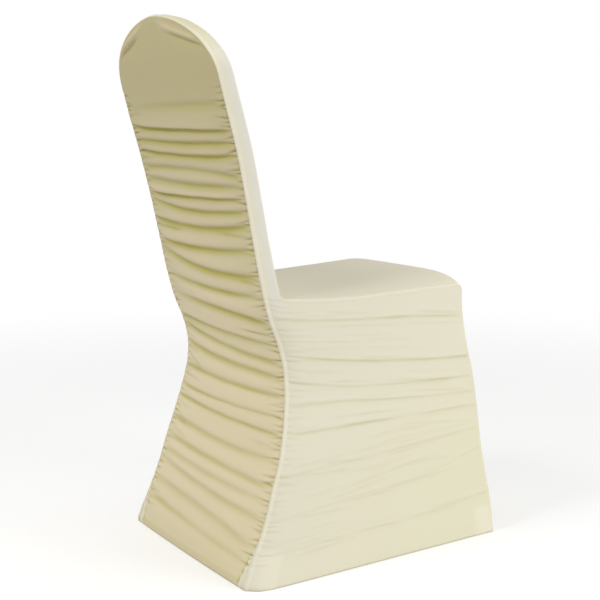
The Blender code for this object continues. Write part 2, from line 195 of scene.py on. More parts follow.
def dip(away):
    """Profile of a crease: 1 at its middle, falling off as (1 + a^2)^-1.5."""
    return (1 + away ** 2) ** -1.5


def tuck(away, above, below):
    """Profile of a fold that hangs over the next one: a dip that falls off
    within the width above on its upper side and below on its lower side."""
    return dip(np.where(away > 0, away / above, away / below))


def bulge(away, above, below, reach):
    """The same cloth as in a tuck(), spread over a bell curve of that reach."""
    return (above + below) / (reach * np.sqrt(2 * np.pi)) * np.exp(-(away / reach) ** 2 / 2)


print("half width at the waist: %.1f mm" % (1000 * float(seam("half_width", WAIST_HEIGHT))))


# %% The domed top and the belly of the back
def dome_height(x, inset=0.0):
    """Height of the domed edge: a superellipse over the shoulders, whose height
    is (1 - |x / half width|^power)^(1/2) of its rise."""
    reach = np.clip(np.abs(x) / (DOME_HALF_WIDTH - inset), 0.0, 1.0)
    return SHOULDER + (DOME_RISE - inset) * np.sqrt(1 - reach ** DOME_POWER)


def outline(run, inset=0.0):
    """Half outline of the back at a run from the floor over the dome: up to the
    shoulder the run is the height, past it the run goes a quarter round the
    dome.  Returns x, z and the outward direction in x and z."""
    run = np.asarray(run, dtype=float)
    angle = np.clip((run - SHOULDER) / DOME_RUN, 0.0, 1.0) * np.pi / 2
    cosine = np.maximum(np.cos(angle), 0.0)
    on_dome = run > SHOULDER
    dome_x = (DOME_HALF_WIDTH - inset) * cosine ** (2 / DOME_POWER)
    x = np.where(on_dome, dome_x, seam("half_width", run) - inset)
    z = np.where(on_dome, SHOULDER + (DOME_RISE - inset) * np.sin(angle), run)
    out_x = DOME_RISE * cosine ** (2 - 2 / DOME_POWER)
    out_z = DOME_HALF_WIDTH * np.sin(angle) * 2 / DOME_POWER
    size = np.hypot(out_x, out_z)
    return x, z, out_x / size, out_z / size


def over_dome(side_height, u, inset):
    """How much the rows arch up between the seams to reach the domed edge."""
    top_x, top_z, _, _ = outline(SHOULDER + DOME_RUN / 2, inset)
    start = SHOULDER - DOME_RISE
    arch = np.clip((side_height - start) / (top_z - start), 0.0, 1.0) ** 2
    return arch, (dome_height(u * top_x, inset) - top_z) * arch


def back_depth(u, z, arch=0.0):
    """Depth of the back before its gathers: the seam plus a belly that is a
    parabola across, fuller at the waist and slack near the hem."""
    height = np.maximum(z, HEM)
    belly = BELLY + WAIST_BELLY * np.exp(-((height - WAIST_HEIGHT) / WAIST_SPREAD) ** 2)
    slack = np.clip(HEM_BELLY + (1 - HEM_BELLY) * height / BELLY_RISE, 0.0, 1.0)
    return seam("depth", z) + belly * slack * (1 - u * u) * (1 - arch ** 2)


print("top of the dome at %.1f mm" % (1000 * float(dome_height(0.0))))

# %% [markdown]
# ## Cloth from a grid
#
# Each panel is a length of cloth, so it is made as one surface over two
# directions: across it and along it.  Every point of the grid is worked out at
# once with numpy.  The alternative is to sculpt or to simulate the cloth, but
# its folds are sewn in and held taut, so they stay where the gathers put them
# and a worked-out surface follows them more closely.  A Solidify modifier then
# gives the surface the thickness of a knit.

# %% Grid, lengths and finished piece
WELD = 0.00001            # points that are closer than this become one


def faces_between(rows, columns, first=0):
    """Quads of a grid of rows by columns whose points start at first."""
    r, c = np.meshgrid(np.arange(rows - 1), np.arange(columns - 1), indexing="ij")
    low = (first + r * columns + c).ravel()
    return np.stack([low, low + 1, low + columns + 1, low + columns], 1)


def length_along(points, axis):
    """Distance walked over the cloth from its first row or column."""
    steps = np.linalg.norm(np.diff(points, axis=axis), axis=2)
    walked = np.cumsum(steps, axis=axis)
    start = np.zeros_like(np.take(walked, [0], axis=axis))
    return np.concatenate([start, walked], axis=axis)


def in_flat_cloth(points):
    """Each point's place in the flat cloth: its lengths across and along."""
    return np.stack([length_along(points, 1), length_along(points, 0)], 2)


def cloth_piece(name, points, faces, cut, marks, turned):
    """A sheet of cloth from an open surface.

    cut holds each point's place in the flat cloth in metres, for the UV map,
    and marks the named values per point that its material reads.
    """
    points = np.array(points, dtype=float).reshape(-1, 3)
    points[:, 1] -= MIDDLE
    polygons = [list(face) for face in faces]
    if turned:
        polygons = [polygon[::-1] for polygon in polygons]
    mesh = bpy.data.meshes.new(name)
    mesh.from_pydata(points.tolist(), [], polygons)
    for mark, values in marks.items():
        layer = mesh.attributes.new(mark, "FLOAT", "POINT")
        layer.data.foreach_set("value", np.ravel(values).astype(np.float32))
    corners = np.empty(len(mesh.loops), dtype=np.int32)
    mesh.loops.foreach_get("vertex_index", corners)
    layer = mesh.uv_layers.new(name="cloth")
    layer.uv.foreach_set("vector", np.reshape(cut, (-1, 2))[corners].astype(np.float32).ravel())
    work = bmesh.new()
    work.from_mesh(mesh)
    bmesh.ops.remove_doubles(work, verts=work.verts, dist=WELD)
    work.to_mesh(mesh)
    work.free()
    mesh.shade_smooth()
    piece = bpy.data.objects.new(name, mesh)
    bpy.context.scene.collection.objects.link(piece)
    wall = piece.modifiers.new("thickness", "SOLIDIFY")
    wall.thickness = CLOTH
    wall.offset = -1.0
    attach(piece, "root")
    print(name + ":", len(mesh.polygons), "faces")
    return piece


# %% [markdown]
# ## The gathers of the back
#
# The back is cut a quarter longer than it ends up and gathered into both seams,
# so it lies in cross folds.  A crease runs from seam to seam with a slight bow.
# It has one depth at each seam and one in the middle, is steeper above or
# below, and the cloth around it comes out by as much as the crease takes in.
# A cloth simulation would give folds somewhere else each time its settings
# change, so the creases are placed one by one, from a table.

# %% Creases from seam to seam
Fold = namedtuple(
    "Fold", "left middle right depth_left depth depth_right above below")
FOLDS = [Fold(*row) for row in (
    (0.7887, 0.7932, 0.7921, 0.0003, 0.0040, 0.0037, 0.0087, 0.0115),
    (0.7611, 0.7543, 0.7528, 0.0074, 0.0082, 0.0063, 0.0019, 0.0115),
    (0.7357, 0.7308, 0.7313, 0.0080, 0.0080, 0.0080, 0.0054, 0.0115),
    (0.7179, 0.7100, 0.7122, 0.0078, 0.0080, 0.0074, 0.0035, 0.0115),
    (0.6850, 0.6857, 0.6760, 0.0085, 0.0056, 0.0085, 0.0085, 0.0075),
    (0.6663, 0.6594, 0.6598, 0.0080, 0.0080, 0.0080, 0.0090, 0.0115),
    (0.6421, 0.6383, 0.6430, 0.0076, 0.0081, 0.0066, 0.0026, 0.0115),
    (0.6270, 0.6138, 0.6215, 0.0071, 0.0078, 0.0081, 0.0059, 0.0110),
    (0.5914, 0.5847, 0.5972, 0.0080, 0.0080, 0.0080, 0.0067, 0.0115),
    (0.5533, 0.5472, 0.5583, 0.0067, 0.0082, 0.0037, 0.0065, 0.0115),
    (0.5359, 0.5101, 0.5121, 0.0067, 0.0080, 0.0076, 0.0090, 0.0115),
    (0.4888, 0.4759, 0.4781, 0.0002, 0.0074, 0.0028, 0.0090, 0.0068),
    (0.4513, 0.4425, 0.4316, 0.0004, 0.0071, 0.0074, 0.0090, 0.0104),
    (0.4069, 0.3996, 0.3935, 0.0085, 0.0052, 0.0060, 0.0057, 0.0115),
    (0.3891, 0.3723, 0.3620, 0.0084, 0.0060, 0.0070, 0.0090, 0.0073),
    (0.3532, 0.3441, 0.3384, 0.0079, 0.0061, 0.0077, 0.0090, 0.0089),
    (0.3063, 0.3067, 0.3065, 0.0064, 0.0047, 0.0057, 0.0090, 0.0045),
    (0.2679, 0.2695, 0.2742, 0.0059, 0.0033, 0.0033, 0.0057, 0.0029),
    (0.2473, 0.2459, 0.2446, 0.0073, 0.0038, 0.0058, 0.0051, 0.0050),
    (0.2093, 0.2012, 0.2053, 0.0046, 0.0037, 0.0023, 0.0075, 0.0083),
    (0.1706, 0.1648, 0.1602, 0.0051, 0.0046, 0.0038, 0.0090, 0.0069),
    (0.1437, 0.1393, 0.1364, 0.0048, 0.0038, 0.0029, 0.0090, 0.0096),
    (0.1276, 0.1139, 0.1093, 0.0033, 0.0043, 0.0032, 0.0075, 0.0109),
    (0.0873, 0.0816, 0.0615, 0.0053, 0.0032, 0.0049, 0.0090, 0.0115),
    (0.0555, 0.0471, 0.0374, 0.0073, 0.0021, 0.0044, 0.0086, 0.0055),
)]
FOLD_REACH = 0.024        # the cloth drawn into a crease bulges out this far around it
LINE_SWAY = 0.0005        # a crease wanders this far from its bow,
DEPTH_SWAY = 0.08         # and its depth changes by this share,
DEPTH_AHEAD = 7           # by the sway of the crease that is this many further on
SWAYS = ((0.65, 0.7, 0.37), (0.35, 1.9, 0.61))    # share, waves, step per crease


def bow(left, middle, right, u):
    """A parabola across the back through its value at both seams and between."""
    return left * u * (u + 1) / 2 + middle * (1 - u * u) + right * u * (u - 1) / 2


def fold_line(fold, u):
    """Height of a crease at u."""
    return bow(fold.left, fold.middle, fold.right, u)


def sway(u, number):
    """A wobble between -1 and 1 across the back, different per crease: the sum
    of a slow and a quick share times sin(2 pi (waves u + step number))."""
    return sum(share * np.sin(2 * np.pi * (waves * u + step * number))
               for share, waves, step in SWAYS)


def long_creases(u, z):
    """Sum of the creases: each is its depth times tuck() less bulge(), so the
    cloth between them comes out as far as the creases go in."""
    drawn_in = np.zeros(np.broadcast(u, z).shape)
    for number, fold in enumerate(FOLDS):
        line = fold_line(fold, u) + LINE_SWAY * sway(u, number)
        depth = bow(fold.depth_left, fold.depth, fold.depth_right, u)
        depth = np.maximum(depth, 0.0) * (1 + DEPTH_SWAY * sway(u, number + DEPTH_AHEAD))
        away = z - line
        drawn_in += depth * (tuck(away, fold.above, fold.below)
                             - bulge(away, fold.above, fold.below, FOLD_REACH))
    return drawn_in


print("creases from seam to seam:", len(FOLDS))

# %% Creases that die out
# Where across the back (+1 left seam, -1 right seam) and how high each one
# starts and ends.  A negative depth is a ridge.
ShortFold = namedtuple("ShortFold", "start end start_height end_height depth width")
SHORT_FOLDS = [ShortFold(*row) for row in (
    (-0.97, -0.35, 0.5790, 0.5800, 0.0030, 0.0040),
    (0.97, 0.25, 0.5785, 0.5755, 0.0036, 0.0040),
    (0.97, 0.62, 0.7830, 0.7790, 0.0012, 0.0030),
    (0.97, 0.62, 0.7050, 0.7010, 0.0016, 0.0030),
    (0.97, 0.62, 0.6080, 0.6040, 0.0016, 0.0030),
    (0.97, 0.45, 0.2930, 0.2870, 0.0022, 0.0035),
    (0.97, 0.60, 0.2340, 0.2300, 0.0016, 0.0035),
    (-0.98, -0.60, 0.5000, 0.5025, 0.0025, 0.0040),
    (-0.97, -0.40, 0.4125, 0.4140, 0.0036, 0.0040),
    (0.95, 0.65, 0.3710, 0.3625, 0.0024, 0.0030),
    (0.96, 0.62, 0.3440, 0.3380, 0.0020, 0.0030),
    (0.95, 0.50, 0.3305, 0.3135, 0.0030, 0.0035),
    (0.97, 0.60, 0.2070, 0.1995, 0.0024, 0.0030),
    (0.97, 0.55, 0.1880, 0.1785, 0.0018, 0.0040),
    (-0.97, -0.50, 0.2250, 0.2235, 0.0016, 0.0045),
    (-0.95, -0.25, 0.8830, 0.9130, 0.0048, 0.0070),
    (-0.93, -0.05, 0.8960, 0.9330, -0.0040, 0.0090),
    (0.94, 0.35, 0.8800, 0.9120, 0.0036, 0.0070),
    (0.93, 0.25, 0.8960, 0.9300, -0.0040, 0.0090),
)]
SHORT_IN = (-0.06, 0.10)  # shares of its way over which a short crease comes up
SHORT_OUT = (0.55, 1.05)  # and dies out
SHORT_SIDES = (0.6, 1.3)  # its upper and lower side, over its width


def short_line(fold, at, fade_in, fade_out):
    """Height of a short crease at places across, going evenly from its start
    to its end, and how much of it is there, eased in and out along its way."""
    way = (at - fold.start) / (fold.end - fold.start)
    line = fold.start_height + way * (fold.end_height - fold.start_height)
    return line, ease(way, *fade_in) * (1 - ease(way, *fade_out))


def short_creases(u, z):
    """Sum of the short creases: each is its depth times tuck()."""
    drawn_in = np.zeros(np.broadcast(u, z).shape)
    for fold in SHORT_FOLDS:
        line, there = short_line(fold, u, SHORT_IN, SHORT_OUT)
        above, below = (share * fold.width for share in SHORT_SIDES)
        drawn_in += fold.depth * there * tuck(z - line, above, below)
    return drawn_in


print("shorter creases:", len(SHORT_FOLDS))

# %% [markdown]
# ## Puckers at the seams
#
# The gathering thread pulls the cloth up in many more places than a long fold
# can start from, so short puckers, one to three centimetres long, stand along
# both seams.  They are scattered with a seeded random generator: their spacing
# looks uneven, as it does in sewn cloth, and comes out the same on every run.

# %% Puckers along the seams
PUCKER_TOP = 0.828
PUCKER_LOW = 0.035
PUCKER_SPACING = 0.0105
PUCKER_STEPS = (0.55, 1.45)         # least and greatest step, over the spacing
PUCKER_TRIES = 120                  # more steps than a seam has room for
PUCKER_DEPTHS = (0.0026, 0.0062)    # least and greatest
PUCKER_LENGTHS = (0.010, 0.028)
PUCKER_WIDTHS = (0.0014, 0.0026)
PUCKER_SLANTS = (-0.10, 0.25)
PUCKER_SIDES = (0.7, 1.4)           # its upper and lower side, over its width
PUCKER_RISE = 0.0030                # it has its whole depth this far from the seam
PUCKER_SWELL = 0.30                 # the cloth around it comes out by this share
PUCKER_SWELL_WIDTHS = 3


def scatter_puckers(seed):
    """Heights, depths, lengths, widths and slants of one seam's puckers."""
    random = np.random.default_rng(seed)
    steps = PUCKER_SPACING * random.uniform(*PUCKER_STEPS, PUCKER_TRIES)
    heights = PUCKER_TOP - np.cumsum(steps)
    heights = heights[heights > PUCKER_LOW]
    ranges = (PUCKER_DEPTHS, PUCKER_LENGTHS, PUCKER_WIDTHS, PUCKER_SLANTS)
    return np.stack([heights] + [random.uniform(*ends, len(heights)) for ends in ranges], 1)


PUCKERS = {-1: scatter_puckers(11), 1: scatter_puckers(23)}


def puckers(away, z, side):
    """Depth of one seam's puckers at a distance from the seam: each is its
    depth times tuck() less a wider dip(), rising from the seam and dying out as
    exp(-(d / length)^2)."""
    drawn_in = np.zeros(np.broadcast(away, z).shape)
    for height, depth, length, width, slant in PUCKERS[side]:
        there = ease(away, 0.0, PUCKER_RISE) * np.exp(-(away / length) ** 2)
        off = z - (height - slant * away)
        above, below = (share * width for share in PUCKER_SIDES)
        swell = PUCKER_SWELL * dip(off / (PUCKER_SWELL_WIDTHS * width))
        drawn_in += depth * there * (tuck(off, above, below) - swell)
    return drawn_in


print("puckers on the right and left seam:", len(PUCKERS[-1]), len(PUCKERS[1]))

# %% [markdown]
# ## The gathered back panel
#
# The rows of its grid follow the creases, so each crease has a row of points
# along its bottom and stays sharp with few faces.  Rows are closer together
# near a crease and further apart on the round cloth between.  A crease also
# runs up beside each foot, where a pocket lies behind the cloth and makes it
# look paler.  The sewn edge goes a hair under the side cloth, as it does in a
# real seam, so that no gap shows between the two.

# %% Rows, columns and sewn edges
def columns_across(count, crowded):
    """Places from -1 to 1 that stand closer together near both ends: even
    steps for a share, and their sine for the share crowded."""
    even = np.linspace(-1.0, 1.0, count)
    return (1 - crowded) * even + crowded * np.sin(even * np.pi / 2)


def rows_along(start, lines, step, crowded=0.0):
    """Rows from start to each line in turn, about a step apart and closer
    after each line: at (1 - crowded) t + crowded t^2 of the way, for even t.
    Returns the rows before the last line, and that line."""
    levels = []
    for line in lines:
        count = max(3, round(float(np.mean(line - start)) / step))
        even = np.arange(count) / count
        levels += [start + part * (line - start)
                   for part in (1 - crowded) * even + crowded * even ** 2]
        start = line
    return levels, start


def above_hem(z):
    """0 within the hem, rising evenly to 1 at three hems above it."""
    return np.clip((z - HEM) / (3 * HEM), 0.0, 1.0)


def sewn_under(to_edge):
    """How far a sewn edge lies under the cloth beside it: SEAM_UNDER at the
    edge, eased to nothing at SEAM_RUN from it."""
    return SEAM_UNDER * ease(1 - to_edge / SEAM_RUN)


print("a sewn edge lies %.1f mm under its neighbour" % (1000 * float(sewn_under(0.0))))

# %% Beside the feet
FOOT_TUCK = 0.020         # a foot pocket shows this wide at the floor
FOOT_TALL = 0.080         # and this high
FOOT_CREASE_WIDTH = 0.0016
FOOT_CREASE_DEPTH = 0.0016
FOOT_CREASE_END = 0.03    # the crease dies out over this height
FOOT_PATCH_MORE = 0.001   # the pale patch goes this far past the crease
FOOT_PATCH_SOFT = (0.3, 0.25)       # and fades over these shares, upwards and across


def foot_crease(z, away):
    """1 in the crease that runs up beside a foot: it starts FOOT_TUCK from the
    seam at the floor and meets the seam at FOOT_TALL."""
    beside = away - FOOT_TUCK * (1 - z / FOOT_TALL)
    return (dip(beside / FOOT_CREASE_WIDTH) * ease(FOOT_TALL - z, 0.0, FOOT_CREASE_END)
            * ease(away, 0.0, PUCKER_RISE) * ease(z, 0.0, HEM))


def foot_patch(z, away):
    """1 where the back lies on a foot pocket, between the seam and the crease."""
    width = FOOT_TUCK * (1 - np.clip(z / FOOT_TALL, 0.0, 1.0)) + FOOT_PATCH_MORE
    up, across = FOOT_PATCH_SOFT
    return ease(1 - z / FOOT_TALL, 0.0, up) * ease(1 - away / width, 0.0, across)


print("foot crease leans by %.0f degrees" % np.degrees(np.arctan2(FOOT_TUCK, FOOT_TALL)))

# %% Relief and rows of the gathered back
BACK_COLUMNS = 75
BACK_CROWDED = 0.45
ROW_STEP = 0.00140        # about how far apart the rows are among the creases
BACK_HEM_ROWS = (0.0, 0.004, HEM, 0.011, 0.0145)
BACK_FIRST_ROW = 0.018    # the rows follow the creases from here
BACK_TOP_ROWS = 96
BACK_TOP_CROWDED = 1.3
GATHER_TOP = 0.800        # the long creases end here,
GATHER_FADE = 0.009       # over about this height,
HEM_CALM = 0.090          # are calmed at the seams below this,
SEAM_CALM = 8             # and end at the seam by this power of u


def back_relief(u, z, away):
    """How far creases and puckers draw the back in, and crests let it out."""
    fade = 1 / (1 + np.exp((z - GATHER_TOP) / GATHER_FADE))
    calm = 1 - np.abs(u) ** 3 * np.exp(-(z / HEM_CALM) ** 2)
    at_seam = 1 - np.abs(u) ** SEAM_CALM
    drawn_in = (long_creases(u, z) * fade * calm + short_creases(u, z)) * at_seam
    drawn_in += np.where(u < 0, puckers(away, z, -1), puckers(away, z, 1))
    return -drawn_in * above_hem(z) - FOOT_CREASE_DEPTH * foot_crease(z, away)


def crease_rows(u):
    """Heights of the rows at the side seams' runs, from the hem to the top."""
    lines = [fold_line(fold, u) for fold in reversed(FOLDS)]
    among, last = rows_along(0 * u + BACK_FIRST_ROW, lines, ROW_STEP, BACK_CROWDED)
    top = SHOULDER + DOME_RUN / 2
    share = np.linspace(0.0, 1.0, BACK_TOP_ROWS) ** BACK_TOP_CROWDED
    above = [last + part * (top - last) for part in share]
    return np.array([0 * u + level for level in BACK_HEM_ROWS] + among + above)


print("rows of the gathered back:", len(crease_rows(np.zeros(3))))

# %% Make the gathered back
HOLLOW_DEPTH = 0.0056     # relief at which a low crease shows its whole painted shade, less by this higher up, between these heights and by this share fainter at the shoulder
HOLLOW_LESS = 0.0014      # less by this higher up,
HOLLOW_TURN = (0.35, 0.62)          # between these heights
HOLLOW_TOP = 0.75         # and by this share fainter at the shoulder
CREST_DEPTH = 0.0032      # relief at which a crest is painted palest, as a highlight
HEM_SHADE = 0.22          # shade of the groove at the hem's stitches
HEM_SHADE_WIDTH = 0.0030
FOOT_SHADE = 0.7          # shade of the crease beside a foot
FOOT_PALE = 0.9


def ruched_back():
    """The back over u across and the creases' rows along.  Each point is the
    smooth back, moved by the relief along the panel's own normal."""
    u = columns_across(BACK_COLUMNS, BACK_CROWDED)
    edge_x, side_z, _, _ = outline(crease_rows(u), SEAM_INSET)
    arch, rise = over_dome(side_z, u, SEAM_INSET)
    z = side_z + rise
    away = (1 - np.abs(u)) * edge_x
    to_dome = np.where(side_z > SHOULDER, dome_height(edge_x * u, SEAM_INSET) - z, 1.0)
    to_edge = np.minimum(away, to_dome)
    relief = back_relief(u, z, away)
    slope = (seam("depth", z + HEM) - seam("depth", z - HEM)) / (2 * HEM)
    y = back_depth(u, z, arch) + relief - sewn_under(to_edge)
    points = np.stack([edge_x * u, y, z - relief * slope], 2)

    # Painted shade in the creases, in the groove of the hem's stitches and in the crease beside a
    # foot, and a painted highlight on the crests of the gathers.
    full = HOLLOW_DEPTH - HOLLOW_LESS * ease(z, *HOLLOW_TURN)
    painted_shade = np.clip(-relief / full, 0.0, 1.0) * (1 - HOLLOW_TOP * ease(z, GATHER_TOP, SHOULDER))
    hem_line = HEM_SHADE * np.exp(-((z - HEM_STITCH) / HEM_SHADE_WIDTH) ** 2)
    marks = {
        "painted_shade": painted_shade + hem_line + FOOT_SHADE * foot_crease(z, away),
        "crest_highlight": np.clip(relief / CREST_DEPTH, 0.0, 1.0),
        "edge": to_edge,
        "doubled": FOOT_PALE * foot_patch(z, away),
    }
    faces = faces_between(*z.shape)
    return cloth_piece("ruched_back", points, faces, in_flat_cloth(points), marks, True)


back_cloth = ruched_back()

# %% [markdown]
# ## Seams that stand up
#
# Where two lengths are sewn together, four thicknesses of cloth lie in the
# seam, so it stands up as a thin light cord.  It could be a separate tube along
# the edge.  A rounded swelling of the side cloth's own edge is used, because the
# seam is that cloth, turned under.  Along the gathered back the cord leans back
# over the panel, and every pucker pinches it in.

# %% Seam cords
BACK_CORD = 0.0060        # width of the cord along the back seam
BACK_CORD_HEIGHT = 0.0016
BACK_CORD_LEAN = 0.0022   # it leans back this far,
BACK_CORD_LEAN_WIDTH = 0.005        # over this width
EDGE_CORD = 0.0042        # width of the cord along the other seams
EDGE_CORD_HEIGHT = 0.0008
PINCH = 0.45              # share of its height that a pucker takes from the cord
PINCH_FULL = 0.003        # if it is this deep,
PINCH_WIDTH = 0.003       # over about this height
PINCH_TOP = 0.01          # the pinches end this far above the top pucker
PINCH_FADE = 0.02


def cord(away, width, height):
    """Swelling of a seam cord: height times sin^2, over its width."""
    return height * np.sin(np.pi * np.clip(away / width, 0.0, 1.0)) ** 2


def back_cord(away):
    """The cord along the back seam."""
    return cord(away, BACK_CORD, BACK_CORD_HEIGHT)


def edge_cord(away):
    """The cord along any other seam."""
    return cord(away, EDGE_CORD, EDGE_CORD_HEIGHT)


def cord_lean(away):
    """How far back the cord of the back seam leans: half a sine over its width."""
    return BACK_CORD_LEAN * np.sin(np.pi * np.clip(away / BACK_CORD_LEAN_WIDTH, 0.0, 1.0))


def pucker_beat(z, side):
    """How full the back cord is at each height: pinched in at every pucker."""
    pinched = np.zeros_like(z)
    for height, depth, _, _, _ in PUCKERS[side]:
        pinched += depth / PINCH_FULL * dip((z - height) / PINCH_WIDTH)
    below_top = ease(PUCKER_TOP + PINCH_TOP - z, 0.0, PINCH_FADE)
    return 1 - PINCH * np.clip(pinched, 0.0, 1.0) * below_top


print("the back cord is %.1f mm high" % (1000 * float(back_cord(BACK_CORD / 2))))

# %% [markdown]
# ## Tension wrinkles
#
# A stretched side is smooth, but for wrinkles that run from seam to corner
# along the pull.  The ones that can be made out one by one are in two tables,
# and hair-fine ones are scattered between them, with the same slopes.

# %% Wrinkles of the sides
# The long ones by their heights at the back seam, at a third and two thirds of
# the way and at the front corner; the shorter ones by the shares of the way
# and the heights at which they start and end.
Wrinkle = namedtuple("Wrinkle", "back third two_thirds front depth")
WRINKLES = [Wrinkle(*row) for row in (
    (0.4450, 0.4325, 0.4275, 0.4175, 0.0020),
    (0.3800, 0.3600, 0.3475, 0.3425, 0.0027),
    (0.3350, 0.3150, 0.3075, 0.3050, 0.0018),
    (0.2950, 0.2900, 0.2800, 0.2750, 0.0018),
    (0.2500, 0.2500, 0.2500, 0.2480, 0.0012),
    (0.1800, 0.1880, 0.1980, 0.2060, 0.0011),
    (0.1075, 0.1225, 0.1350, 0.1700, 0.0010),
    (0.0525, 0.0600, 0.0650, 0.0800, 0.0007),
)]
SHORT_WRINKLES = [ShortFold(*row) for row in (
    (0.00, 0.08, 0.4010, 0.3960, 0.0012, 0.0020),
    (0.00, 0.12, 0.4150, 0.4105, 0.0009, 0.0020),
    (0.02, 0.16, 0.4245, 0.4210, 0.0007, 0.0020),
    (0.05, 0.40, 0.4395, 0.4300, 0.0009, 0.0022),
    (0.55, 0.74, 0.4285, 0.4262, 0.0010, 0.0022),
    (0.98, 0.70, 0.4235, 0.4365, 0.0018, 0.0024),
    (0.98, 0.66, 0.4190, 0.4290, 0.0010, 0.0020),
    (0.00, 0.14, 0.3905, 0.3830, 0.0010, 0.0020),
    (0.00, 0.09, 0.3720, 0.3665, 0.0010, 0.0020),
    (0.08, 0.32, 0.3490, 0.3420, 0.0009, 0.0024),
    (0.00, 0.12, 0.3560, 0.3500, 0.0009, 0.0020),
    (0.20, 0.36, 0.3270, 0.3240, 0.0009, 0.0020),
    (0.90, 0.45, 0.3040, 0.3185, 0.0018, 0.0026),
    (0.02, 0.14, 0.3200, 0.3150, 0.0008, 0.0020),
    (0.02, 0.46, 0.2990, 0.2890, 0.0014, 0.0022),
    (0.98, 0.58, 0.2790, 0.2960, 0.0010, 0.0024),
    (0.03, 0.22, 0.2560, 0.2520, 0.0010, 0.0028),
    (0.28, 0.62, 0.2510, 0.2470, 0.0015, 0.0024),
    (0.97, 0.58, 0.2515, 0.2478, 0.0011, 0.0022),
    (0.97, 0.56, 0.2200, 0.2360, 0.0008, 0.0024),
    (0.20, 0.52, 0.1930, 0.1830, 0.0010, 0.0024),
    (0.08, 0.50, 0.1790, 0.1680, 0.0010, 0.0024),
    (0.48, 0.88, 0.1900, 0.2000, 0.0009, 0.0024),
    (0.66, 0.88, 0.1640, 0.1600, 0.0008, 0.0024),
    (0.13, 0.40, 0.1090, 0.1060, 0.0010, 0.0024),
    (0.33, 0.62, 0.1180, 0.1230, 0.0010, 0.0024),
    (0.53, 0.92, 0.1280, 0.1400, 0.0009, 0.0024),
    (0.26, 0.42, 0.0580, 0.0540, 0.0008, 0.0024),
    (0.41, 0.62, 0.0630, 0.0600, 0.0009, 0.0024),
    (0.60, 0.90, 0.0660, 0.0640, 0.0008, 0.0024),
)]
FINE_WRINKLES = 84        # hair-fine ones that are scattered between these
FINE_HEIGHTS = (0.03, 0.46)         # least and greatest
FINE_STARTS = (0.0, 0.75)
FINE_LENGTHS = (0.15, 0.50)
FINE_DEPTHS = (0.0003, 0.0009)
FINE_WIDTHS = (0.0014, 0.0026)
WRINKLE_CALM = 0.012      # a wrinkle has its whole depth this far from a seam
WRINKLE_SWAY = 0.35       # the depth of a long one changes by this share,
WRINKLE_AHEAD = 3         # by the sway of the crease of this number and on
LONG_WIDE = (0.22, 0.007)           # share of its depth and width of its soft dip
LONG_SHARP = (0.42, 0.0021)         # and of its sharp line
SHORT_SHARE = 0.6         # depth that is shown of the shorter ones
WRINKLE_IN = (0.0, 0.15)  # shares of its way over which a shorter one comes up
WRINKLE_OUT = (0.5, 1.0)  # and dies out
LIP, LIP_AWAY = 0.55, 1.9           # height of the lip, and how many widths above it lies


def wrinkle_line(wrinkle, share):
    """Height of a wrinkle at a share of the way from the back seam forward."""
    return through(np.array([0.0, 1 / 3, 2 / 3, 1.0]), np.array(wrinkle[:4]), share)


def lipped(away):
    """Profile of a tension wrinkle: a narrow crease with a low lip above it."""
    return dip(away) - LIP * dip(away - LIP_AWAY)


def scatter_fine_wrinkles(seed):
    """Hair-fine wrinkles whose slope follows the long ones around them."""
    random = np.random.default_rng(seed)
    backs = np.array([wrinkle.back for wrinkle in reversed(WRINKLES)])
    fronts = np.array([wrinkle.front for wrinkle in reversed(WRINKLES)])
    low = random.uniform(*FINE_HEIGHTS, FINE_WRINKLES)
    slope = np.interp(low, backs, fronts) - low
    start = random.uniform(*FINE_STARTS, FINE_WRINKLES)
    end = start + random.uniform(*FINE_LENGTHS, FINE_WRINKLES)
    depth = random.uniform(*FINE_DEPTHS, FINE_WRINKLES)
    width = random.uniform(*FINE_WIDTHS, FINE_WRINKLES)
    table = np.stack([start, end, low + start * slope, low + end * slope, depth, width], 1)
    return [ShortFold(*row) for row in table]


def tension(share, z, fine):
    """Depth of the tension wrinkles at a share of the way along the skirt."""
    drawn_in = np.zeros(np.broadcast(share, z).shape)
    for number, wrinkle in enumerate(WRINKLES):
        away = z - wrinkle_line(wrinkle, share)
        depth = wrinkle.depth * (1 + WRINKLE_SWAY * sway(2 * share - 1, number + WRINKLE_AHEAD))
        drawn_in += depth * (LONG_WIDE[0] * dip(away / LONG_WIDE[1])
                             + LONG_SHARP[0] * lipped(away / LONG_SHARP[1]))
    for wrinkle in SHORT_WRINKLES + fine:
        line, there = short_line(wrinkle, share, WRINKLE_IN, WRINKLE_OUT)
        drawn_in += SHORT_SHARE * wrinkle.depth * there * lipped((z - line) / wrinkle.width)
    return drawn_in


print("tension wrinkles:", len(WRINKLES) + len(SHORT_WRINKLES) + FINE_WRINKLES)

# %% [markdown]
# ## Side cloths
#
# One cut makes the strip round the backrest and the side of the skirt.  It is
# stretched between the back seam and the front corner, which pulls long fine
# wrinkles across it.  The cloth is doubled over the feet, where the pockets
# lie behind it, and shows lighter there.  It is worked out as two grids, the
# skirt and the strip, and the strip carries on the skirt's first columns.

# %% Shape of the sides
ACROSS = np.array([0, 0.5, 1.1, 1.8, 2.6, 3.5, 4.5, 6, 8, 11, 14.5, 18, 21.2, 23.6,
                   25.4, 26.8, 28]) / 1000 / STRIP      # columns of the strip
NEAR_SEAM = np.array([6.5, 5.2, 4.1, 3.1, 2.1, 1.2, 0.5, 0.0]) / 1000
SKIRT_COLUMNS = 58
SKIRT_END = 0.012         # the even columns end this far from the front corner
SKIRT_STEP = 0.0018       # about how far apart the rows of the skirt are
SKIRT_HEM_ROWS = (0.0, 0.004, HEM, 0.0115, 0.015)
SKIRT_FIRST_ROW = 0.019   # the rows follow the wrinkles from here
SKIRT_LAST_ROW = 0.0085   # to this far below the seat


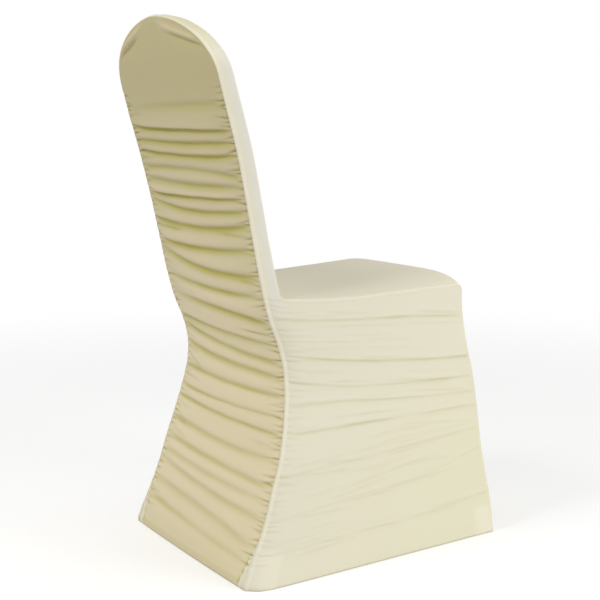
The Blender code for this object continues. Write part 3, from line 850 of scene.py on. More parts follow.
def side_width(y, z):
    """Half width of the side at depth y and height z: straight from seam to
    corner, plus a swelling that rises as 1 - exp(-d / reach) behind the seam."""
    start = seam("depth", z)
    length = start - corner("depth", z)
    ahead = np.maximum(start - y, 0.0)
    share = np.clip(ahead / length, 0.0, 1.0)
    straight = seam("half_width", z) * (1 - share) + corner("half_width", z) * share
    return straight + seam("swell", z) * (1 - np.exp(-ahead / CORNER_REACH)) * (1 - share)


def skirt_depth(z, strip_share, station):
    """Depth of a point of the side, across its strip and then its skirt."""
    start = seam("depth", z) - STRIP * strip_share
    return start + (corner("depth", z) - start) * station


def seat_line(station):
    """Side edge of the seat from the strip (station 0) to the corner (1):
    filleted into the strip and rounded down at the front."""
    depths = column(SEAT, SEAT_COLUMNS, "depth")
    heights = column(SEAT, SEAT_COLUMNS, "height")
    behind = seam("depth", heights[-1]) - STRIP
    y = behind + (SEAT_FRONT - behind) * station
    from_back = np.clip(1 - (behind - y) / CREASE_RADIUS, 0.0, 1.0)
    from_front = np.clip(1 - (y - SEAT_FRONT) / FRONT_RADIUS, 0.0, 1.0)
    rounded_off = FRONT_RADIUS * (1 - np.sqrt(1 - from_front ** 2))
    z = through(depths, heights, y) + CREASE_RADIUS * from_back ** 2 - rounded_off
    return skirt_depth(z, 1.0, station), z


def strip_flare(run, strip_share):
    """How far the strip stands out beyond the back seam at each run."""
    z = np.minimum(run, SHOULDER)
    swelling = side_width(seam("depth", z) - STRIP * strip_share, z) - seam("half_width", z)
    tucked = np.clip((z - SHOULDER + DOME_RISE) / DOME_RISE, 0.0, 1.0) ** 2
    return swelling - STRIP_TUCK * tucked * strip_share ** 2


def skirt_rows(top, share):
    """Heights of the skirt's rows: along the wrinkles, then close to the seat."""
    lines = [wrinkle_line(wrinkle, share) for wrinkle in reversed(WRINKLES)]
    lines.append(top - SKIRT_LAST_ROW)
    among, last = rows_along(0 * top + SKIRT_FIRST_ROW, lines, SKIRT_STEP)
    hem = [0 * top + level for level in SKIRT_HEM_ROWS]
    return np.array(hem + among + [last] + [top - away for away in NEAR_SEAM])


print("side edge of the seat at %.1f mm" % (1000 * float(seat_line(0.5)[1])))

# %% Pale cloth of the sides
POCKET_TALL = 0.060       # the feet's patches are this high,
POCKET_RISE = 0.012       # the back one higher at the seam by this,
POCKET_LONG = 0.050       # and this long, the back one
POCKET_FRONT = 0.046      # and the front one
BACK_SOFT = (0.12, 0.22)  # they fade over these shares, along and upwards
FRONT_SOFT = (0.16, 0.20)
PATCH_PALE = 0.55
BAND_PALE = 0.8           # paleness of the doubled cloth beside the back seam
SKIRT_BAND, SKIRT_BAND_SOFT = 0.008, 0.5        # its width, and the share that fades
STRIP_BAND, STRIP_BAND_SOFT = 0.0135, 0.35
DOME_BAND_LESS = 0.0075   # on the dome it is narrower by this
EDGE_BAND, EDGE_BAND_SOFT = 0.0055, 0.5         # beside the other seams
EDGE_PALE = 0.7           # and its paleness there over that beside the back seam


def foot_patches(z, ahead, to_corner):
    """1 where the side lies on a foot pocket, behind the front corner and
    ahead of the back seam."""
    along = 1 - ahead / POCKET_LONG
    tall = POCKET_TALL + POCKET_RISE * along
    back = ease(along, 0.0, BACK_SOFT[0]) * ease(1 - z / tall, 0.0, BACK_SOFT[1])
    front = ease(1 - to_corner / POCKET_FRONT, 0.0, FRONT_SOFT[0])
    return np.maximum(back, front * ease(1 - z / POCKET_TALL, 0.0, FRONT_SOFT[1]))


def seam_bands(to_back, width, soft, to_others):
    """1 on the doubled cloth beside the back seam, less beside the others."""
    beside_others = EDGE_PALE * ease(1 - to_others / EDGE_BAND, 0.0, EDGE_BAND_SOFT)
    return np.maximum(ease(1 - to_back / width, 0.0, soft), beside_others)


print("patch over a back foot: %.0f by %.0f mm" % (1000 * POCKET_LONG, 1000 * POCKET_TALL))

# %% The skirt of a side
SKIRT_LENGTH = float(seam("depth", WAIST_HEIGHT) - corner("depth", WAIST_HEIGHT))
PUCKER_ENDS = 0.25        # the puckers of the back go on in the side with this share,
PUCKER_ENDS_FROM = 0.004  # this far behind the seam
PATCH_SWELL = 0.0005      # the patches stand out this far,
PATCH_SWELL_RISE = 0.006  # from this far behind the seam
HEM_ROLL = 0.0008         # the hem is this much fuller,
HEM_ROLL_TALL = 0.010     # up to this height
WRINKLE_HOLLOW = 0.0022   # depth at which a wrinkle shows its whole painted shade
TIGHT_TOP = 0.45          # the skirt is tight below this,
TIGHT_FADE = 0.35         # and wholly so this far below it
THIN_FROM = (0.010, 0.016)          # it is thin this far from the back seam,
THIN_RISE = 0.05          # on the strip and this far below it


def skirt_grid(side, seed):
    """Points of the skirt from the hem to the seat, and its marks: side_width()
    over the columns, moved out by cords, patches and hem, in by wrinkles."""
    even = np.linspace(0.0, 1.0 - SKIRT_END / SKIRT_LENGTH, SKIRT_COLUMNS)[1:]
    stations = np.append(even, 1 - NEAR_SEAM / SKIRT_LENGTH)
    strip_share = np.concatenate([ACROSS, np.ones(len(stations))])
    station = np.concatenate([0 * ACROSS, stations])
    top = seat_line(station)[1]
    share = STRIP / SKIRT_LENGTH * strip_share * (1 - station) + station
    z = skirt_rows(top, share)
    y = skirt_depth(z, strip_share, station)
    ahead = seam("depth", z) - y
    to_corner = y - corner("depth", z)
    to_seat = np.hypot((1 - strip_share) * STRIP, top - z)

    calm = ease(np.minimum(ahead, to_corner) / WRINKLE_CALM)
    drawn_in = tension(share, z, scatter_fine_wrinkles(seed))
    drawn_in = drawn_in * calm * ease(to_seat, 0.0, WRINKLE_CALM)
    behind = np.maximum(ahead - PUCKER_ENDS_FROM, 0.0)
    drawn_in += PUCKER_ENDS * puckers(behind, z, side) * (z < top[0])
    patch = foot_patches(z, ahead, to_corner)
    beat = pucker_beat(z, side)
    swell = PATCH_SWELL * patch * ease(ahead, 0.0, PATCH_SWELL_RISE)
    out = back_cord(ahead) * beat - drawn_in + swell
    out += edge_cord(to_corner) + edge_cord(to_seat)
    out += HEM_ROLL * np.sin(np.pi * np.clip(z / HEM_ROLL_TALL, 0.0, 1.0))
    points = np.stack([side_width(y, z) + out, y + cord_lean(ahead) * beat, z], 2)

    band = seam_bands(ahead, SKIRT_BAND, SKIRT_BAND_SOFT, np.minimum(to_seat, to_corner))
    up_seam = ease(z, top[0] - THIN_RISE, top[0]) * (station <= 0)
    # The wrinkles get painted shade, by their depth.
    marks = {
        "painted_shade": np.clip(drawn_in / WRINKLE_HOLLOW, 0.0, 1.0),
        "edge": np.minimum(np.minimum(ahead, to_corner), to_seat),
        "doubled": np.maximum(PATCH_PALE * patch, BAND_PALE * band),
        "tight": share * ease(TIGHT_TOP - z, 0.0, TIGHT_FADE),
        "thin": up_seam * ease(ahead, *THIN_FROM),
    }
    return points, marks


print("the side is %.0f mm long at the waist" % (1000 * SKIRT_LENGTH))

# %% The strip of a side
STRIP_ROWS = 120
DOME_ROWS = 110
SLACK_WAVES = (0.097, 0.061)        # lengths of the slow and the quick wave
SLACK_QUICK = 0.6         # share of the quick one
SLACK_RISE = 0.06         # they have their whole depth this far above the seat
DOME_CALM = 0.7           # share of the back cord that is lost over the dome
CALM_FROM, CALM_TO = 0.02, 0.06     # from below to above the shoulder
DOME_BAND_TO = 0.04
TOP_SHADE = (0.860, 0.925)          # the strip is painted with the crease shade between these and its doubled band fades by this share
TOP_BAND_LESS = 0.6       # and its doubled band fades by this share


def strip_grid(side, seed, seat):
    """Points of the strip from the seat up the backrest and a quarter round
    the dome, and its marks: outline(), moved outwards by its flare, its round
    middle, its slack and its cords."""
    up_dome = np.linspace(SHOULDER, SHOULDER + DOME_RUN, DOME_ROWS)[1:]
    run = np.concatenate([np.linspace(seat, SHOULDER, STRIP_ROWS), up_dome])[:, None]
    edge_x, edge_z, out_x, out_z = outline(run)
    to_back = STRIP * ACROSS
    to_front = STRIP * (1 - ACROSS)
    middle = np.sin(np.pi * ACROSS)
    slow, quick = (2 * np.pi * run / length for length in SLACK_WAVES)
    slack = STRIP_SLACK * (np.sin(slow + seed) + SLACK_QUICK * np.sin(quick))
    beat = pucker_beat(edge_z, side)
    beat = beat * (1 - DOME_CALM * ease(run, SHOULDER - CALM_FROM, SHOULDER + CALM_TO))
    rounded = STRIP_ROUND * middle * np.clip((run - seat) / STRIP_ROUND_RISE, 0, 1)
    out = strip_flare(run, ACROSS) + rounded
    out += slack * middle * ease(run - seat, 0.0, SLACK_RISE)
    out = out + back_cord(to_back) * beat + edge_cord(to_front)
    x = np.maximum(edge_x + out * out_x, GAP / 2)
    y = seam("depth", edge_z) - to_back + cord_lean(to_back) * beat
    points = np.stack([x, y, edge_z + out * out_z], 2)

    to_edge = np.minimum(to_back, to_front) + 0 * run
    # Over the top of the dome the strip is painted darker in the crease colour, as shade, and its
    # pale band fades there.
    over_top = ease(edge_z, *TOP_SHADE)
    on_dome = ease(run, SHOULDER - CALM_FROM, SHOULDER + DOME_BAND_TO)
    width = STRIP_BAND - DOME_BAND_LESS * on_dome
    band = seam_bands(to_back, width, STRIP_BAND_SOFT, to_front)
    marks = {
        "painted_shade": over_top + 0 * to_edge,
        "edge": to_edge,
        "doubled": BAND_PALE * band * (1 - TOP_BAND_LESS * over_top),
        "tight": 0 * to_edge,
        "thin": ease(to_back, *THIN_FROM) * (1 - over_top),
    }
    return points, marks


print("rows of the strip:", STRIP_ROWS + DOME_ROWS - 1)


# %% Make both sides
def side_cloth(name, side, seed):
    """The skirt and, above its first columns, the strip, in one piece."""
    skirt, skirt_marks = skirt_grid(side, seed)
    strip, strip_marks = strip_grid(side, seed, skirt[-1, 0, 2])
    points = np.concatenate([skirt.reshape(-1, 3), strip.reshape(-1, 3)])
    points[:, 0] *= side
    skirt_cut = in_flat_cloth(skirt)
    strip_cut = in_flat_cloth(strip)
    strip_cut[:, :, 1] += skirt_cut[-1, :len(ACROSS), 1]
    cut = np.concatenate([skirt_cut.reshape(-1, 2), strip_cut.reshape(-1, 2)])
    marks = {mark: np.append(skirt_marks[mark], strip_marks[mark]) for mark in skirt_marks}
    rows, columns = skirt.shape[:2]
    faces = np.concatenate([
        faces_between(rows, columns), faces_between(*strip.shape[:2], rows * columns)])
    return cloth_piece(name, points, faces, cut, marks, side > 0)


right_cloth = side_cloth("side_cloth_right", -1, 5)
left_cloth = side_cloth("side_cloth_left", 1, 8)

# %% [markdown]
# ## Inner back, seat and front
#
# This length is laid over the chair from the dome to the floor.  Its middle
# stands off the straight line between its seams, most of all over the padded
# seat.  The crown is a power curve across, 1 - |u|^p: a low power is a round
# back, a high one a seat that is flat in the middle and rounds off at its edge.

# %% Edge and wrinkles of the centre length
CENTRE_COLUMNS = 61
CENTRE_CROWDED = 0.55
INNER_BACK_ROWS = 120
FRONT_ROWS = 230
SEAT_STATIONS = np.concatenate([
    [0, 0.006, 0.012, 0.02, 0.03], np.linspace(0.045, 0.955, 70),
    [0.965, 0.974, 0.982, 0.989, 0.995, 1.0]])
FRONT_WRINKLE = (0.75, 0.0034)      # depth over that on the sides, and width
FRONT_UNEVEN = 0.008      # a wrinkle starts this far above or below the side's
FRONT_SAGS = (0.004, 0.016)         # least and greatest
FRONT_REACHES = (0.9, 1.7)          # how far across it goes, in half widths
FRONT_FADE = 0.8          # share of its way over which it dies out
FRONT_CALM = 0.06         # it comes up over this share of the half width
FRONT_SEED = 31


def crown_at(name, way):
    """A column of the crown table at a share of the length of the cloth."""
    return np.interp(way, column(CROWN, CROWN_COLUMNS, "way"), column(CROWN, CROWN_COLUMNS, name))


def front_wrinkles(u, z, seed):
    """Wrinkles across the front skirt: they start at either corner, and sag."""
    random = np.random.default_rng(seed)
    drawn_in = np.zeros(np.broadcast(u, z).shape)
    share, width = FRONT_WRINKLE
    for wrinkle in WRINKLES:
        for side in (-1, 1):
            height = wrinkle.front + random.uniform(-FRONT_UNEVEN, FRONT_UNEVEN)
            sag = random.uniform(*FRONT_SAGS)
            there = ease(1 - np.abs(u - side) / random.uniform(*FRONT_REACHES), 0.0, FRONT_FADE)
            line = height - sag * (1 - u * u)
            drawn_in += share * wrinkle.depth * there * lipped((z - line) / width)
    return drawn_in * ease(1 - np.abs(u), 0.0, FRONT_CALM) * ease(z, HEM, 4 * HEM)


def centre_edge(flare):
    """The edge of this length as x, y and z: from the dome down the strip,
    along the seat and down the front corner; and which points are in front."""
    seat_y, seat_z = seat_line(SEAT_STATIONS)
    run = np.linspace(SHOULDER + DOME_RUN / 2, seat_z[0], INNER_BACK_ROWS)[:-1]
    dome_x, back_z, _, _ = outline(run, SEAM_INSET - flare)
    strip_x = seam("half_width", run) + strip_flare(run, 1.0) - SEAM_INSET
    front_z = np.append(np.linspace(seat_z[-1], HEM, FRONT_ROWS)[1:], [HEM / 2, 0.0])
    y = np.concatenate([seam("depth", back_z) - STRIP, seat_y, corner("depth", front_z)])
    z = np.concatenate([back_z, seat_z, front_z])
    side_x = side_width(y[len(run):], z[len(run):]) - SEAM_INSET
    x = np.concatenate([np.where(run > SHOULDER, dome_x, strip_x), side_x])
    front = np.arange(len(z)) >= len(run) + len(seat_z) - 1
    return x[:, None], y[:, None], z[:, None], front[:, None]


print("rows of the centre length:", len(centre_edge(0.0)[0]))

# %% Make the inner back, seat and front
CENTRE_HEM = 0.0006       # the hem is this much fuller
CORNER_PATCH = 0.032      # width of the pale patch over a front foot
CORNER_SOFT = 0.25        # share of it over which it fades


def seat_cloth():
    """One surface from the dome down the inner back, over the seat and down
    the front: an edge line at each side, and between them a crown along the
    edge's own normal, less the wrinkles of the front."""
    flare = float(strip_flare(SHOULDER, 1.0))
    u = columns_across(CENTRE_COLUMNS, CENTRE_CROWDED)
    edge_x, edge_y, edge_z, on_front = centre_edge(flare)
    step_y = np.gradient(edge_y, axis=0)
    step_z = np.gradient(edge_z, axis=0)
    length = np.hypot(step_y, step_z)
    way = (np.cumsum(length) / np.sum(length))[:, None]
    out_y = step_z / length
    out_z = -step_y / length * np.clip(edge_z / (3 * HEM) - 1, 0.0, 1.0)
    arch, rise = over_dome(edge_z, u, SEAM_INSET - flare)
    under_dome = dome_height(edge_x * u, SEAM_INSET - flare) - (edge_z + rise)
    to_dome = np.where(edge_z > SHOULDER, under_dome, 1.0)
    away = np.minimum((1 - np.abs(u)) * edge_x, to_dome)
    square = np.abs(u) ** crown_at("power", way)
    crown = crown_at("crown", way) * (1 - square) * (1 - arch ** 2) - sewn_under(away)
    drawn_in = front_wrinkles(u, edge_z, FRONT_SEED) * on_front
    hem_fold = CENTRE_HEM * np.sin(np.pi * np.clip(edge_z / HEM_ROLL_TALL, 0.0, 1.0)) * on_front
    lean = seam("depth", edge_z + rise) - seam("depth", edge_z)
    x = edge_x * u
    y = edge_y + (crown - drawn_in) * out_y - hem_fold + lean * (arch > 0)
    z = edge_z + (crown - drawn_in) * out_z + rise
    points = np.stack([x, y, z], 2)
    patch = (ease(1 - edge_z / POCKET_TALL, 0.0, CORNER_SOFT)
             * ease(1 - away / CORNER_PATCH, 0.0, CORNER_SOFT))
    # The wrinkles of the front get painted shade, by their depth.
    marks = {
        "painted_shade": np.clip(drawn_in / WRINKLE_HOLLOW, 0.0, 1.0),
        "edge": away,
        "doubled": patch * on_front,
    }
    faces = faces_between(*x.shape)
    return cloth_piece("seat_and_front_cloth", points, faces, in_flat_cloth(points), marks, True)


centre_cloth = seat_cloth()

# %% [markdown]
# ## Foot pockets
#
# A pocket is a short double wall inside each corner, with a sole that goes
# under the foot.  Its wall follows the panels from the inside, clear of their
# wrinkles and of the deepest pucker near the foot, so it is worked out from the
# same curves.

# %% Make the foot pockets
POCKET_HEIGHT = 0.056
POCKET_SIDE = 0.055       # length of its wall along the side
POCKET_END = 0.030        # and along the back or the front
POCKET_LEAN = 0.0015      # it leans inwards by this
POCKET_CLEAR = 0.0012     # room for the wrinkles of the side,
POCKET_END_CLEAR = 0.0008 # for those of the front,
DEEPEST = 0.0050          # and for the deepest pucker of the back near the foot
POCKET_ROWS = 14
POCKET_SIDE_STEPS = np.concatenate([np.linspace(1.0, 0.25, 16), np.linspace(0.22, 0.04, 9)])
POCKET_END_STEPS = np.linspace(0.12, 1.0, 12)


def end_wall(end, x, z):
    """Depth of the back, within its deepest pucker, or of the front at x and z."""
    if end == "back":
        return back_depth(x / seam("half_width", z), z) - DEEPEST * above_hem(z)
    u = x / corner("half_width", z)
    return corner("depth", z) - crown_at("crown", 1.0) * (1 - np.abs(u) ** crown_at("power", 1.0))


def foot_pocket(name, side, end):
    """Low wall round the inside of a corner, closed below by its sole.  The
    side's part lies clear of side_width() along that surface's own normal."""
    into = -1.0 if end == "back" else 1.0
    z = np.append([0.0], np.linspace(HEM, POCKET_HEIGHT, POCKET_ROWS))[:, None]
    clear = SHEET + GAP + POCKET_LEAN * np.clip((z - HEM) / POCKET_HEIGHT, 0.0, 1.0)
    corner_y = seam("depth", z) if end == "back" else corner("depth", z)
    side_y = corner_y + into * POCKET_SIDE * POCKET_SIDE_STEPS
    tilt = (side_width(side_y + GAP, z) - side_width(side_y - GAP, z)) / (2 * GAP)
    size = np.hypot(1.0, tilt)
    side_x = side_width(side_y, z) - clear / size - POCKET_CLEAR
    side_y = side_y + clear * tilt / size
    end_x = side_x[:, -1:] - POCKET_END * POCKET_END_STEPS
    end_y = end_wall(end, end_x, z) + into * (clear + 2 * GAP + POCKET_END_CLEAR)
    x = np.concatenate([side_x, end_x], 1)
    y = np.concatenate([side_y, end_y], 1)
    points = np.stack([x * side, y, z + 0 * x], 2)
    marks = {"painted_shade": 0 * x, "edge": POCKET_HEIGHT - z + 0 * x, "doubled": 0 * x + 1.0}
    sole = list(range(x.shape[1]))[::-1]
    faces = faces_between(*x.shape).tolist() + [sole]
    turned = (side > 0) == (end == "front")
    return cloth_piece(name, points, faces, in_flat_cloth(points), marks, turned)


pocket_cloths = {}
for word, side in (("right", -1.0), ("left", 1.0)):
    for end in ("back", "front"):
        node = "foot_pocket_" + end + "_" + word
        pocket_cloths[node] = foot_pocket("pocket_cloth_" + end + "_" + word, side, end)

# %% [markdown]
# ## The knit
#
# The cloth is a fine warp knit of elastic yarn: matt, a little soft in its
# shine, and close enough that its loops show only from near by.  No dyed length
# is quite even, so its colour is mottled.  Creases are painted darker and more
# yellow, as the shade in them and the light that passes from cloth to cloth.
# Where the cloth is doubled, in seams and over the feet, it looks paler; the
# crests of the gathers are painted paler too, as a highlight.  The back is
# painted darker upwards, as shade on its upper part, which leans back and faces
# a little downwards, and the sides change a little where they are thin or
# tight.  The material reads all this from the marks that each piece carries,
# and its loops from the place in the flat cloth, so that the knit follows the folds.

# %% Tools for materials
def node_of(tree, kind, **settings):
    """A new node of a kind, with its own settings."""
    node = tree.nodes.new(kind)
    for name, value in settings.items():
        setattr(node, name, value)
    return node


def feed(tree, socket, value):
    """Link an output to a socket, or set a plain number on it."""
    if isinstance(value, (int, float)):
        socket.default_value = value
    else:
        tree.links.new(value, socket)


def math_of(tree, operation, a, b=0.0, clamp=False):
    """One step of arithmetic between two outputs or numbers."""
    node = node_of(tree, "ShaderNodeMath", operation=operation, use_clamp=clamp)
    feed(tree, node.inputs[0], a)
    feed(tree, node.inputs[1], b)
    return node.outputs[0]


def rising(tree, value, low, high):
    """Smooth step of an output: 0 below low and 1 above high."""
    node = node_of(tree, "ShaderNodeMapRange", interpolation_type="SMOOTHSTEP")
    node.inputs["From Min"].default_value = low
    node.inputs["From Max"].default_value = high
    tree.links.new(value, node.inputs["Value"])
    return node.outputs["Result"]


def noise(tree, place, scale, detail):
    """Soft noise over places, as a number."""
    node = node_of(tree, "ShaderNodeTexNoise")
    node.inputs["Scale"].default_value = scale
    node.inputs["Detail"].default_value = detail
    tree.links.new(place, node.inputs["Vector"])
    return node.outputs["Fac"]


def mark_of(tree, name):
    """A piece's mark as a number."""
    return node_of(tree, "ShaderNodeAttribute", attribute_name=name).outputs["Fac"]


def tinted(tree, share, below, above):
    """Colour between below and above by a share.  Sockets 6 and 7 of a Mix node
    take its colours and socket 2 gives the mixed one."""
    node = node_of(tree, "ShaderNodeMix", data_type="RGBA")
    feed(tree, node.inputs["Factor"], share)
    for socket, colour in ((node.inputs[6], below), (node.inputs[7], above)):
        if isinstance(colour, tuple):
            socket.default_value = (*colour, 1.0)
        else:
            tree.links.new(colour, socket)
    return node.outputs[2]


print("the tools for materials are ready")

# %% Loops and stitches
LOOP_WIDE = 0.00085       # one loop of the knit across
LOOP_TALL = 0.00065       # and along
LOOP_UNEVEN = (0.6, 0.4)  # distortion of the rows of loops, and its scale
STITCH_LONG = 0.0030
STITCH_THICK = 0.0006     # half width of the thread
STITCH_AWAY = 0.0072      # the row of stitches beside a seam
STITCH_SHOWN = (0.55, 1.6)          # lift and slope of the wave that parts them


def bands(tree, cut, direction, pitch):
    """Even bands of a pitch in metres over the flat cloth: at scale 1 the node
    repeats every 2 pi / 20."""
    wave = node_of(tree, "ShaderNodeTexWave", bands_direction=direction)
    tree.links.new(cut, wave.inputs["Vector"])
    wave.inputs["Scale"].default_value = 2 * np.pi / (20 * pitch)
    wave.inputs["Distortion"].default_value = LOOP_UNEVEN[0]
    wave.inputs["Detail Scale"].default_value = LOOP_UNEVEN[1]
    return wave.outputs["Fac"]


def stitch_row(tree, distance, along, place):
    """1 on the thread of a row of stitches at a distance from an edge."""
    off = math_of(tree, "ABSOLUTE", math_of(tree, "SUBTRACT", distance, place))
    thread = math_of(tree, "SUBTRACT", 1.0, math_of(tree, "DIVIDE", off, STITCH_THICK), clamp=True)
    beat = math_of(tree, "SINE", math_of(tree, "MULTIPLY", along, 2 * np.pi / STITCH_LONG))
    lift, slope = STITCH_SHOWN
    lifted = math_of(tree, "MULTIPLY", math_of(tree, "ADD", beat, lift), slope, clamp=True)
    return math_of(tree, "MULTIPLY", thread, lifted)


def all_stitches(tree, place):
    """The row beside the seams, along which z + y - |x| runs, and the row of
    the hem, along which x + y runs."""
    axes = node_of(tree, "ShaderNodeSeparateXYZ")
    tree.links.new(place, axes.inputs[0])
    x, y, z = axes.outputs
    along = math_of(tree, "SUBTRACT", math_of(tree, "ADD", z, y), math_of(tree, "ABSOLUTE", x))
    beside = stitch_row(tree, mark_of(tree, "edge"), along, STITCH_AWAY)
    at_hem = stitch_row(tree, z, math_of(tree, "ADD", x, y), HEM_STITCH)
    return math_of(tree, "MAXIMUM", beside, at_hem), z


print("loops per square centimetre: %.0f" % (1e-4 / LOOP_WIDE / LOOP_TALL))

# %% The cloth's material
KNIT_SURFACE = {"Roughness": 0.85, "Specular IOR Level": 0.25,
                "Sheen Weight": 0.12, "Sheen Roughness": 0.45}
MOTTLE = (11.0, 3.0)      # scale and detail of the uneven dye
FUZZ = (900.0, 2.0)       # and of the yarn's own unevenness
FUZZ_SHARE = 0.4          # its height over that of a loop
STITCH_SINK = 2.0         # depth of a stitch, over that of a loop
STITCH_SHADE = 0.90       # colour of a stitch over that of the cloth,
STITCH_SHARE = 0.35       # mixed in by this share
UPPER_SHADE_RISE = (0.20, 0.88)  # heights between which the back is painted darker, as shade
CREST_HIGHLIGHT = (1.15, 1.13, 1.23)    # painted highlight: how much paler a crest of the gathers is made
BUMP_STRENGTH = 0.35
BUMP_DISTANCE = 0.00015

# crease is the colour of the painted shade in creases, and high that of the painted shade on the
# upper back.
Knit = namedtuple(
    "Knit", "plain warm crease doubled crease_share high thin tight", defaults=(None, None, None))


def knit_colour(tree, knit, place, z):
    """Colour of the cloth: plain to warm by a slow mottle, then, where the
    knit has them, to high with height, which is painted shade on the upper
    back, paler on the crests of the gathers, which is a painted highlight, and
    to thin and tight by their marks, and last to crease in the creases, which
    is painted shade, and to doubled by the mark doubled."""
    colour = tinted(tree, noise(tree, place, *MOTTLE), knit.plain, knit.warm)
    if knit.high:
        # painted shade: the back is made darker upwards
        colour = tinted(tree, rising(tree, z, *UPPER_SHADE_RISE), colour, knit.high)
        # painted highlight: the crests of the gathers are made paler
        pale = node_of(tree, "ShaderNodeVectorMath", operation="MULTIPLY")
        tree.links.new(colour, pale.inputs[0])
        pale.inputs[1].default_value = CREST_HIGHLIGHT
        colour = tinted(tree, mark_of(tree, "crest_highlight"), colour, pale.outputs[0])
    if knit.thin:
        colour = tinted(tree, mark_of(tree, "thin"), colour, knit.thin)
        colour = tinted(tree, mark_of(tree, "tight"), colour, knit.tight)
    # painted shade: creases are made darker and more yellow
    painted_shade = math_of(tree, "MULTIPLY", mark_of(tree, "painted_shade"), knit.crease_share, clamp=True)
    colour = tinted(tree, painted_shade, colour, knit.crease)
    return tinted(tree, mark_of(tree, "doubled"), colour, knit.doubled)


def stretch_knit(name, knit):
    """A knit material in the colours of knit, with its stitches a little
    darker; loops, fuzz and stitches stand up as bump."""
    material = bpy.data.materials.new(name)
    material.use_nodes = True
    tree = material.node_tree
    shader = tree.nodes["Principled BSDF"]
    for socket, value in KNIT_SURFACE.items():
        shader.inputs[socket].default_value = value
    place = node_of(tree, "ShaderNodeTexCoord").outputs["Object"]
    stitches, z = all_stitches(tree, place)
    colour = knit_colour(tree, knit, place, z)
    shade = tuple(STITCH_SHADE * value for value in knit.plain)
    colour = tinted(tree, math_of(tree, "MULTIPLY", stitches, STITCH_SHARE), colour, shade)
    tree.links.new(colour, shader.inputs["Base Color"])

    cut = node_of(tree, "ShaderNodeUVMap", uv_map="cloth").outputs["UV"]
    rows = bands(tree, cut, "Y", LOOP_TALL)
    loops = math_of(tree, "MULTIPLY", bands(tree, cut, "X", LOOP_WIDE), rows)
    fuzz = math_of(tree, "MULTIPLY", noise(tree, place, *FUZZ), FUZZ_SHARE)
    height = math_of(tree, "ADD", loops, fuzz)
    height = math_of(tree, "SUBTRACT", height, math_of(tree, "MULTIPLY", stitches, STITCH_SINK))
    bump = node_of(tree, "ShaderNodeBump")
    bump.inputs["Strength"].default_value = BUMP_STRENGTH
    bump.inputs["Distance"].default_value = BUMP_DISTANCE
    tree.links.new(height, bump.inputs["Height"])
    tree.links.new(bump.outputs["Normal"], shader.inputs["Normal"])
    return material


print("the surface of every knit:", KNIT_SURFACE)

# %% Colours of the four knits
# crease is each knit's painted crease shade, and the back's high is the painted shade of its upper
# part.
back_knit = stretch_knit("gathered_knit", Knit(
    plain=(0.80, 0.70, 0.475), warm=(0.775, 0.69, 0.43), crease=(0.52, 0.465, 0.13),
    doubled=(0.86, 0.80, 0.63), crease_share=1.15, high=(0.54, 0.475, 0.262)))
side_knit = stretch_knit("side_knit", Knit(
    plain=(0.80, 0.76, 0.61), warm=(0.79, 0.75, 0.59), crease=(0.64, 0.59, 0.38),
    doubled=(0.87, 0.82, 0.655), crease_share=0.8, thin=(0.79, 0.765, 0.67),
    tight=(0.775, 0.745, 0.545)))
seat_knit = stretch_knit("seat_knit", Knit(
    plain=(0.785, 0.74, 0.585), warm=(0.78, 0.735, 0.575), crease=(0.60, 0.56, 0.33),
    doubled=(0.85, 0.80, 0.64), crease_share=0.8))
pocket_knit = stretch_knit("pocket_knit", Knit(
    plain=(0.80, 0.76, 0.62), warm=(0.79, 0.755, 0.61), crease=(0.62, 0.57, 0.33),
    doubled=(0.85, 0.81, 0.67), crease_share=1.0))
print("materials:", ", ".join(m.name for m in (back_knit, side_knit, seat_knit, pocket_knit)))

# %% [markdown]
# ## Sewing it together
#
# Each piece takes the place of its solid and wears its knit.  The back is cut
# longer than it hangs, since the gathers take up the rest.


def sew_in(piece, node, knit):
    """The piece stands for its node, in its knit, as a sheet cut to flat."""
    piece.data.materials.append(knit)
    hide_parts(node)
    print(piece.name, "in the place of", node)


sew_in(back_cloth, "back_panel", back_knit)
sew_in(centre_cloth, "centre_panel", seat_knit)
sew_in(right_cloth, "side_panel_right", side_knit)
sew_in(left_cloth, "side_panel_left", side_knit)
for node, pocket in pocket_cloths.items():
    sew_in(pocket, node, pocket_knit)

# %% [markdown]
# ## Studio
#
# The cover stands on a pale floor in soft light: a large lamp on its right
# side, one above and behind it, one overhead, and even light from all round.
# The floor grows brighter with distance, so it runs into the white background
# without a line.

# %% Floor and background
SURROUND = 0.50           # strength of the even light from all round
FLOOR_LIFT = 0.31         # the floor is shown this much lighter than it is lit
FLOOR_COLOUR = (0.78, 0.78, 0.775, 1.0)
FLOOR_ROUGHNESS = 0.8
FLOOR_RADIUS = 15
FLOOR_SIDES = 96
FLOOR_LOW = -0.0002       # just below the hem
FLOOR_FADE = (0.7, 3.0)   # it turns white between these distances from the middle
WHITE = (1.0, 1.0, 1.0, 1.0)


def seen_by_camera(tree):
    """1 for what the camera sees itself, 0 for light on its way to a surface."""
    return node_of(tree, "ShaderNodeLightPath").outputs["Is Camera Ray"]


def send_out(tree, share, below, above, surface):
    """Two shaders, mixed by a share, sent to a surface."""
    mixer = node_of(tree, "ShaderNodeMixShader")
    tree.links.new(share, mixer.inputs["Fac"])
    tree.links.new(below, mixer.inputs[1])
    tree.links.new(above, mixer.inputs[2])
    tree.links.new(mixer.outputs["Shader"], surface)


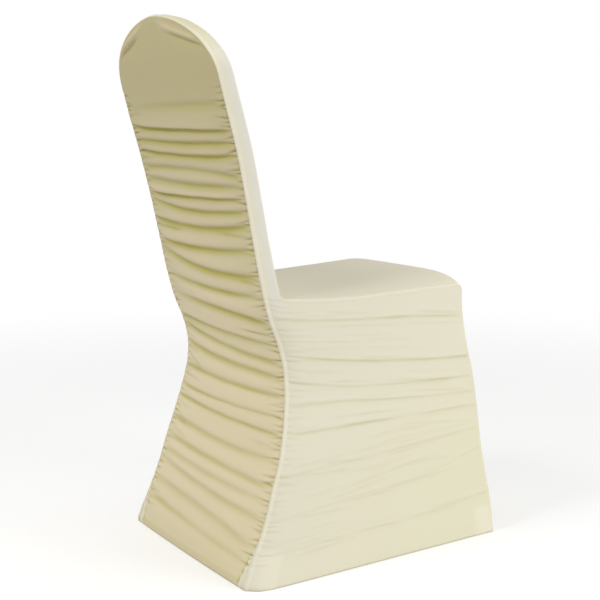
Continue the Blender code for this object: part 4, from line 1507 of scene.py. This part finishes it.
def floor_white():
    """Matt white near the middle, shining white far from it.  Both look
    lighter to the camera than the light that they give to the cover."""
    material = bpy.data.materials.new("floor_white")
    material.use_nodes = True
    tree = material.node_tree
    matt = tree.nodes["Principled BSDF"]
    matt.inputs["Base Color"].default_value = FLOOR_COLOUR
    matt.inputs["Roughness"].default_value = FLOOR_ROUGHNESS
    matt.inputs["Emission Color"].default_value = WHITE
    seen = seen_by_camera(tree)
    tree.links.new(math_of(tree, "MULTIPLY", seen, FLOOR_LIFT), matt.inputs["Emission Strength"])
    place = node_of(tree, "ShaderNodeTexCoord").outputs["Object"]
    far = node_of(tree, "ShaderNodeVectorMath", operation="LENGTH")
    tree.links.new(place, far.inputs[0])
    glow = node_of(tree, "ShaderNodeEmission")
    strength = math_of(tree, "ADD", math_of(tree, "MULTIPLY", seen, 1.0 - SURROUND), SURROUND)
    tree.links.new(strength, glow.inputs["Strength"])
    send_out(tree, rising(tree, far.outputs["Value"], *FLOOR_FADE), matt.outputs["BSDF"],
             glow.outputs["Emission"], tree.nodes["Material Output"].inputs["Surface"])
    return material


def pale_floor():
    """A disc of floor: FLOOR_SIDES points, evenly round a circle."""
    mesh = bpy.data.meshes.new("floor")
    turn = np.linspace(0, 2 * np.pi, FLOOR_SIDES + 1)[:-1]
    x, y = FLOOR_RADIUS * np.cos(turn), FLOOR_RADIUS * np.sin(turn)
    rim = np.stack([x, y, 0 * turn + FLOOR_LOW], 1)
    mesh.from_pydata(rim.tolist(), [], [list(range(len(turn)))])
    floor = bpy.data.objects.new("floor", mesh)
    bpy.context.scene.collection.objects.link(floor)
    mesh.materials.append(floor_white())
    print("floor:", floor.dimensions[0], "m across")


def soft_surroundings(strength):
    """Even light from all round, in front of a white background."""
    world = bpy.data.worlds.new("studio")
    world.use_nodes = True
    tree = world.node_tree
    even = tree.nodes["Background"]
    even.inputs["Color"].default_value = WHITE
    even.inputs["Strength"].default_value = strength
    white = node_of(tree, "ShaderNodeBackground")
    white.inputs["Color"].default_value = WHITE
    send_out(tree, seen_by_camera(tree), even.outputs["Background"],
             white.outputs["Background"], tree.nodes["World Output"].inputs["Surface"])
    bpy.context.scene.world = world


pale_floor()
soft_surroundings(SURROUND)

# %% Lamps and camera
LAMPS = (                 # name, place, what it lights, size and watts
    ("side_lamp", (-2.6, -1.5, 0.85), (0.0, 0.0, 0.40), 1.5, 37),
    ("back_lamp", (-0.15, 2.2, 2.45), (0.0, 0.1, 0.40), 1.2, 29),
    ("top_lamp", (0.0, 0.0, 3.2), (0.0, 0.0, 0.40), 2.0, 15),
)
CAMERA_PLACE = (-1.8165, 1.1569, 0.7537)
CAMERA_DOWN = 8.267       # degrees below level
CAMERA_TURN = 237.7       # degrees from looking along +Y
LENS = 70.2               # millimetres, over a sensor of
SENSOR = 36.0


def soft_lamp(name, place, target, size, watts):
    """A square lamp at a place, turned towards a target."""
    light = bpy.data.lights.new(name, "AREA")
    light.shape = "SQUARE"
    light.size = size
    light.energy = watts
    lamp = bpy.data.objects.new(name, light)
    back = np.array(place) - np.array(target)
    flat = float(np.hypot(back[0], back[1]))
    lamp.location = place
    lamp.rotation_euler = (np.arctan2(flat, back[2]), 0.0, np.arctan2(back[0], -back[1]))
    bpy.context.scene.collection.objects.link(lamp)


for lamp in LAMPS:
    soft_lamp(*lamp)

camera_data = bpy.data.cameras.new("camera")
camera_data.lens = LENS
camera_data.sensor_width = SENSOR
camera = bpy.data.objects.new("camera", camera_data)
camera.location = CAMERA_PLACE
camera.rotation_euler = (np.radians(90 - CAMERA_DOWN), 0.0, np.radians(CAMERA_TURN))
bpy.context.scene.collection.objects.link(camera)
bpy.context.scene.camera = camera
bpy.context.scene.view_settings.view_transform = "Standard"
print("camera at", tuple(round(value, 3) for value in camera.location))
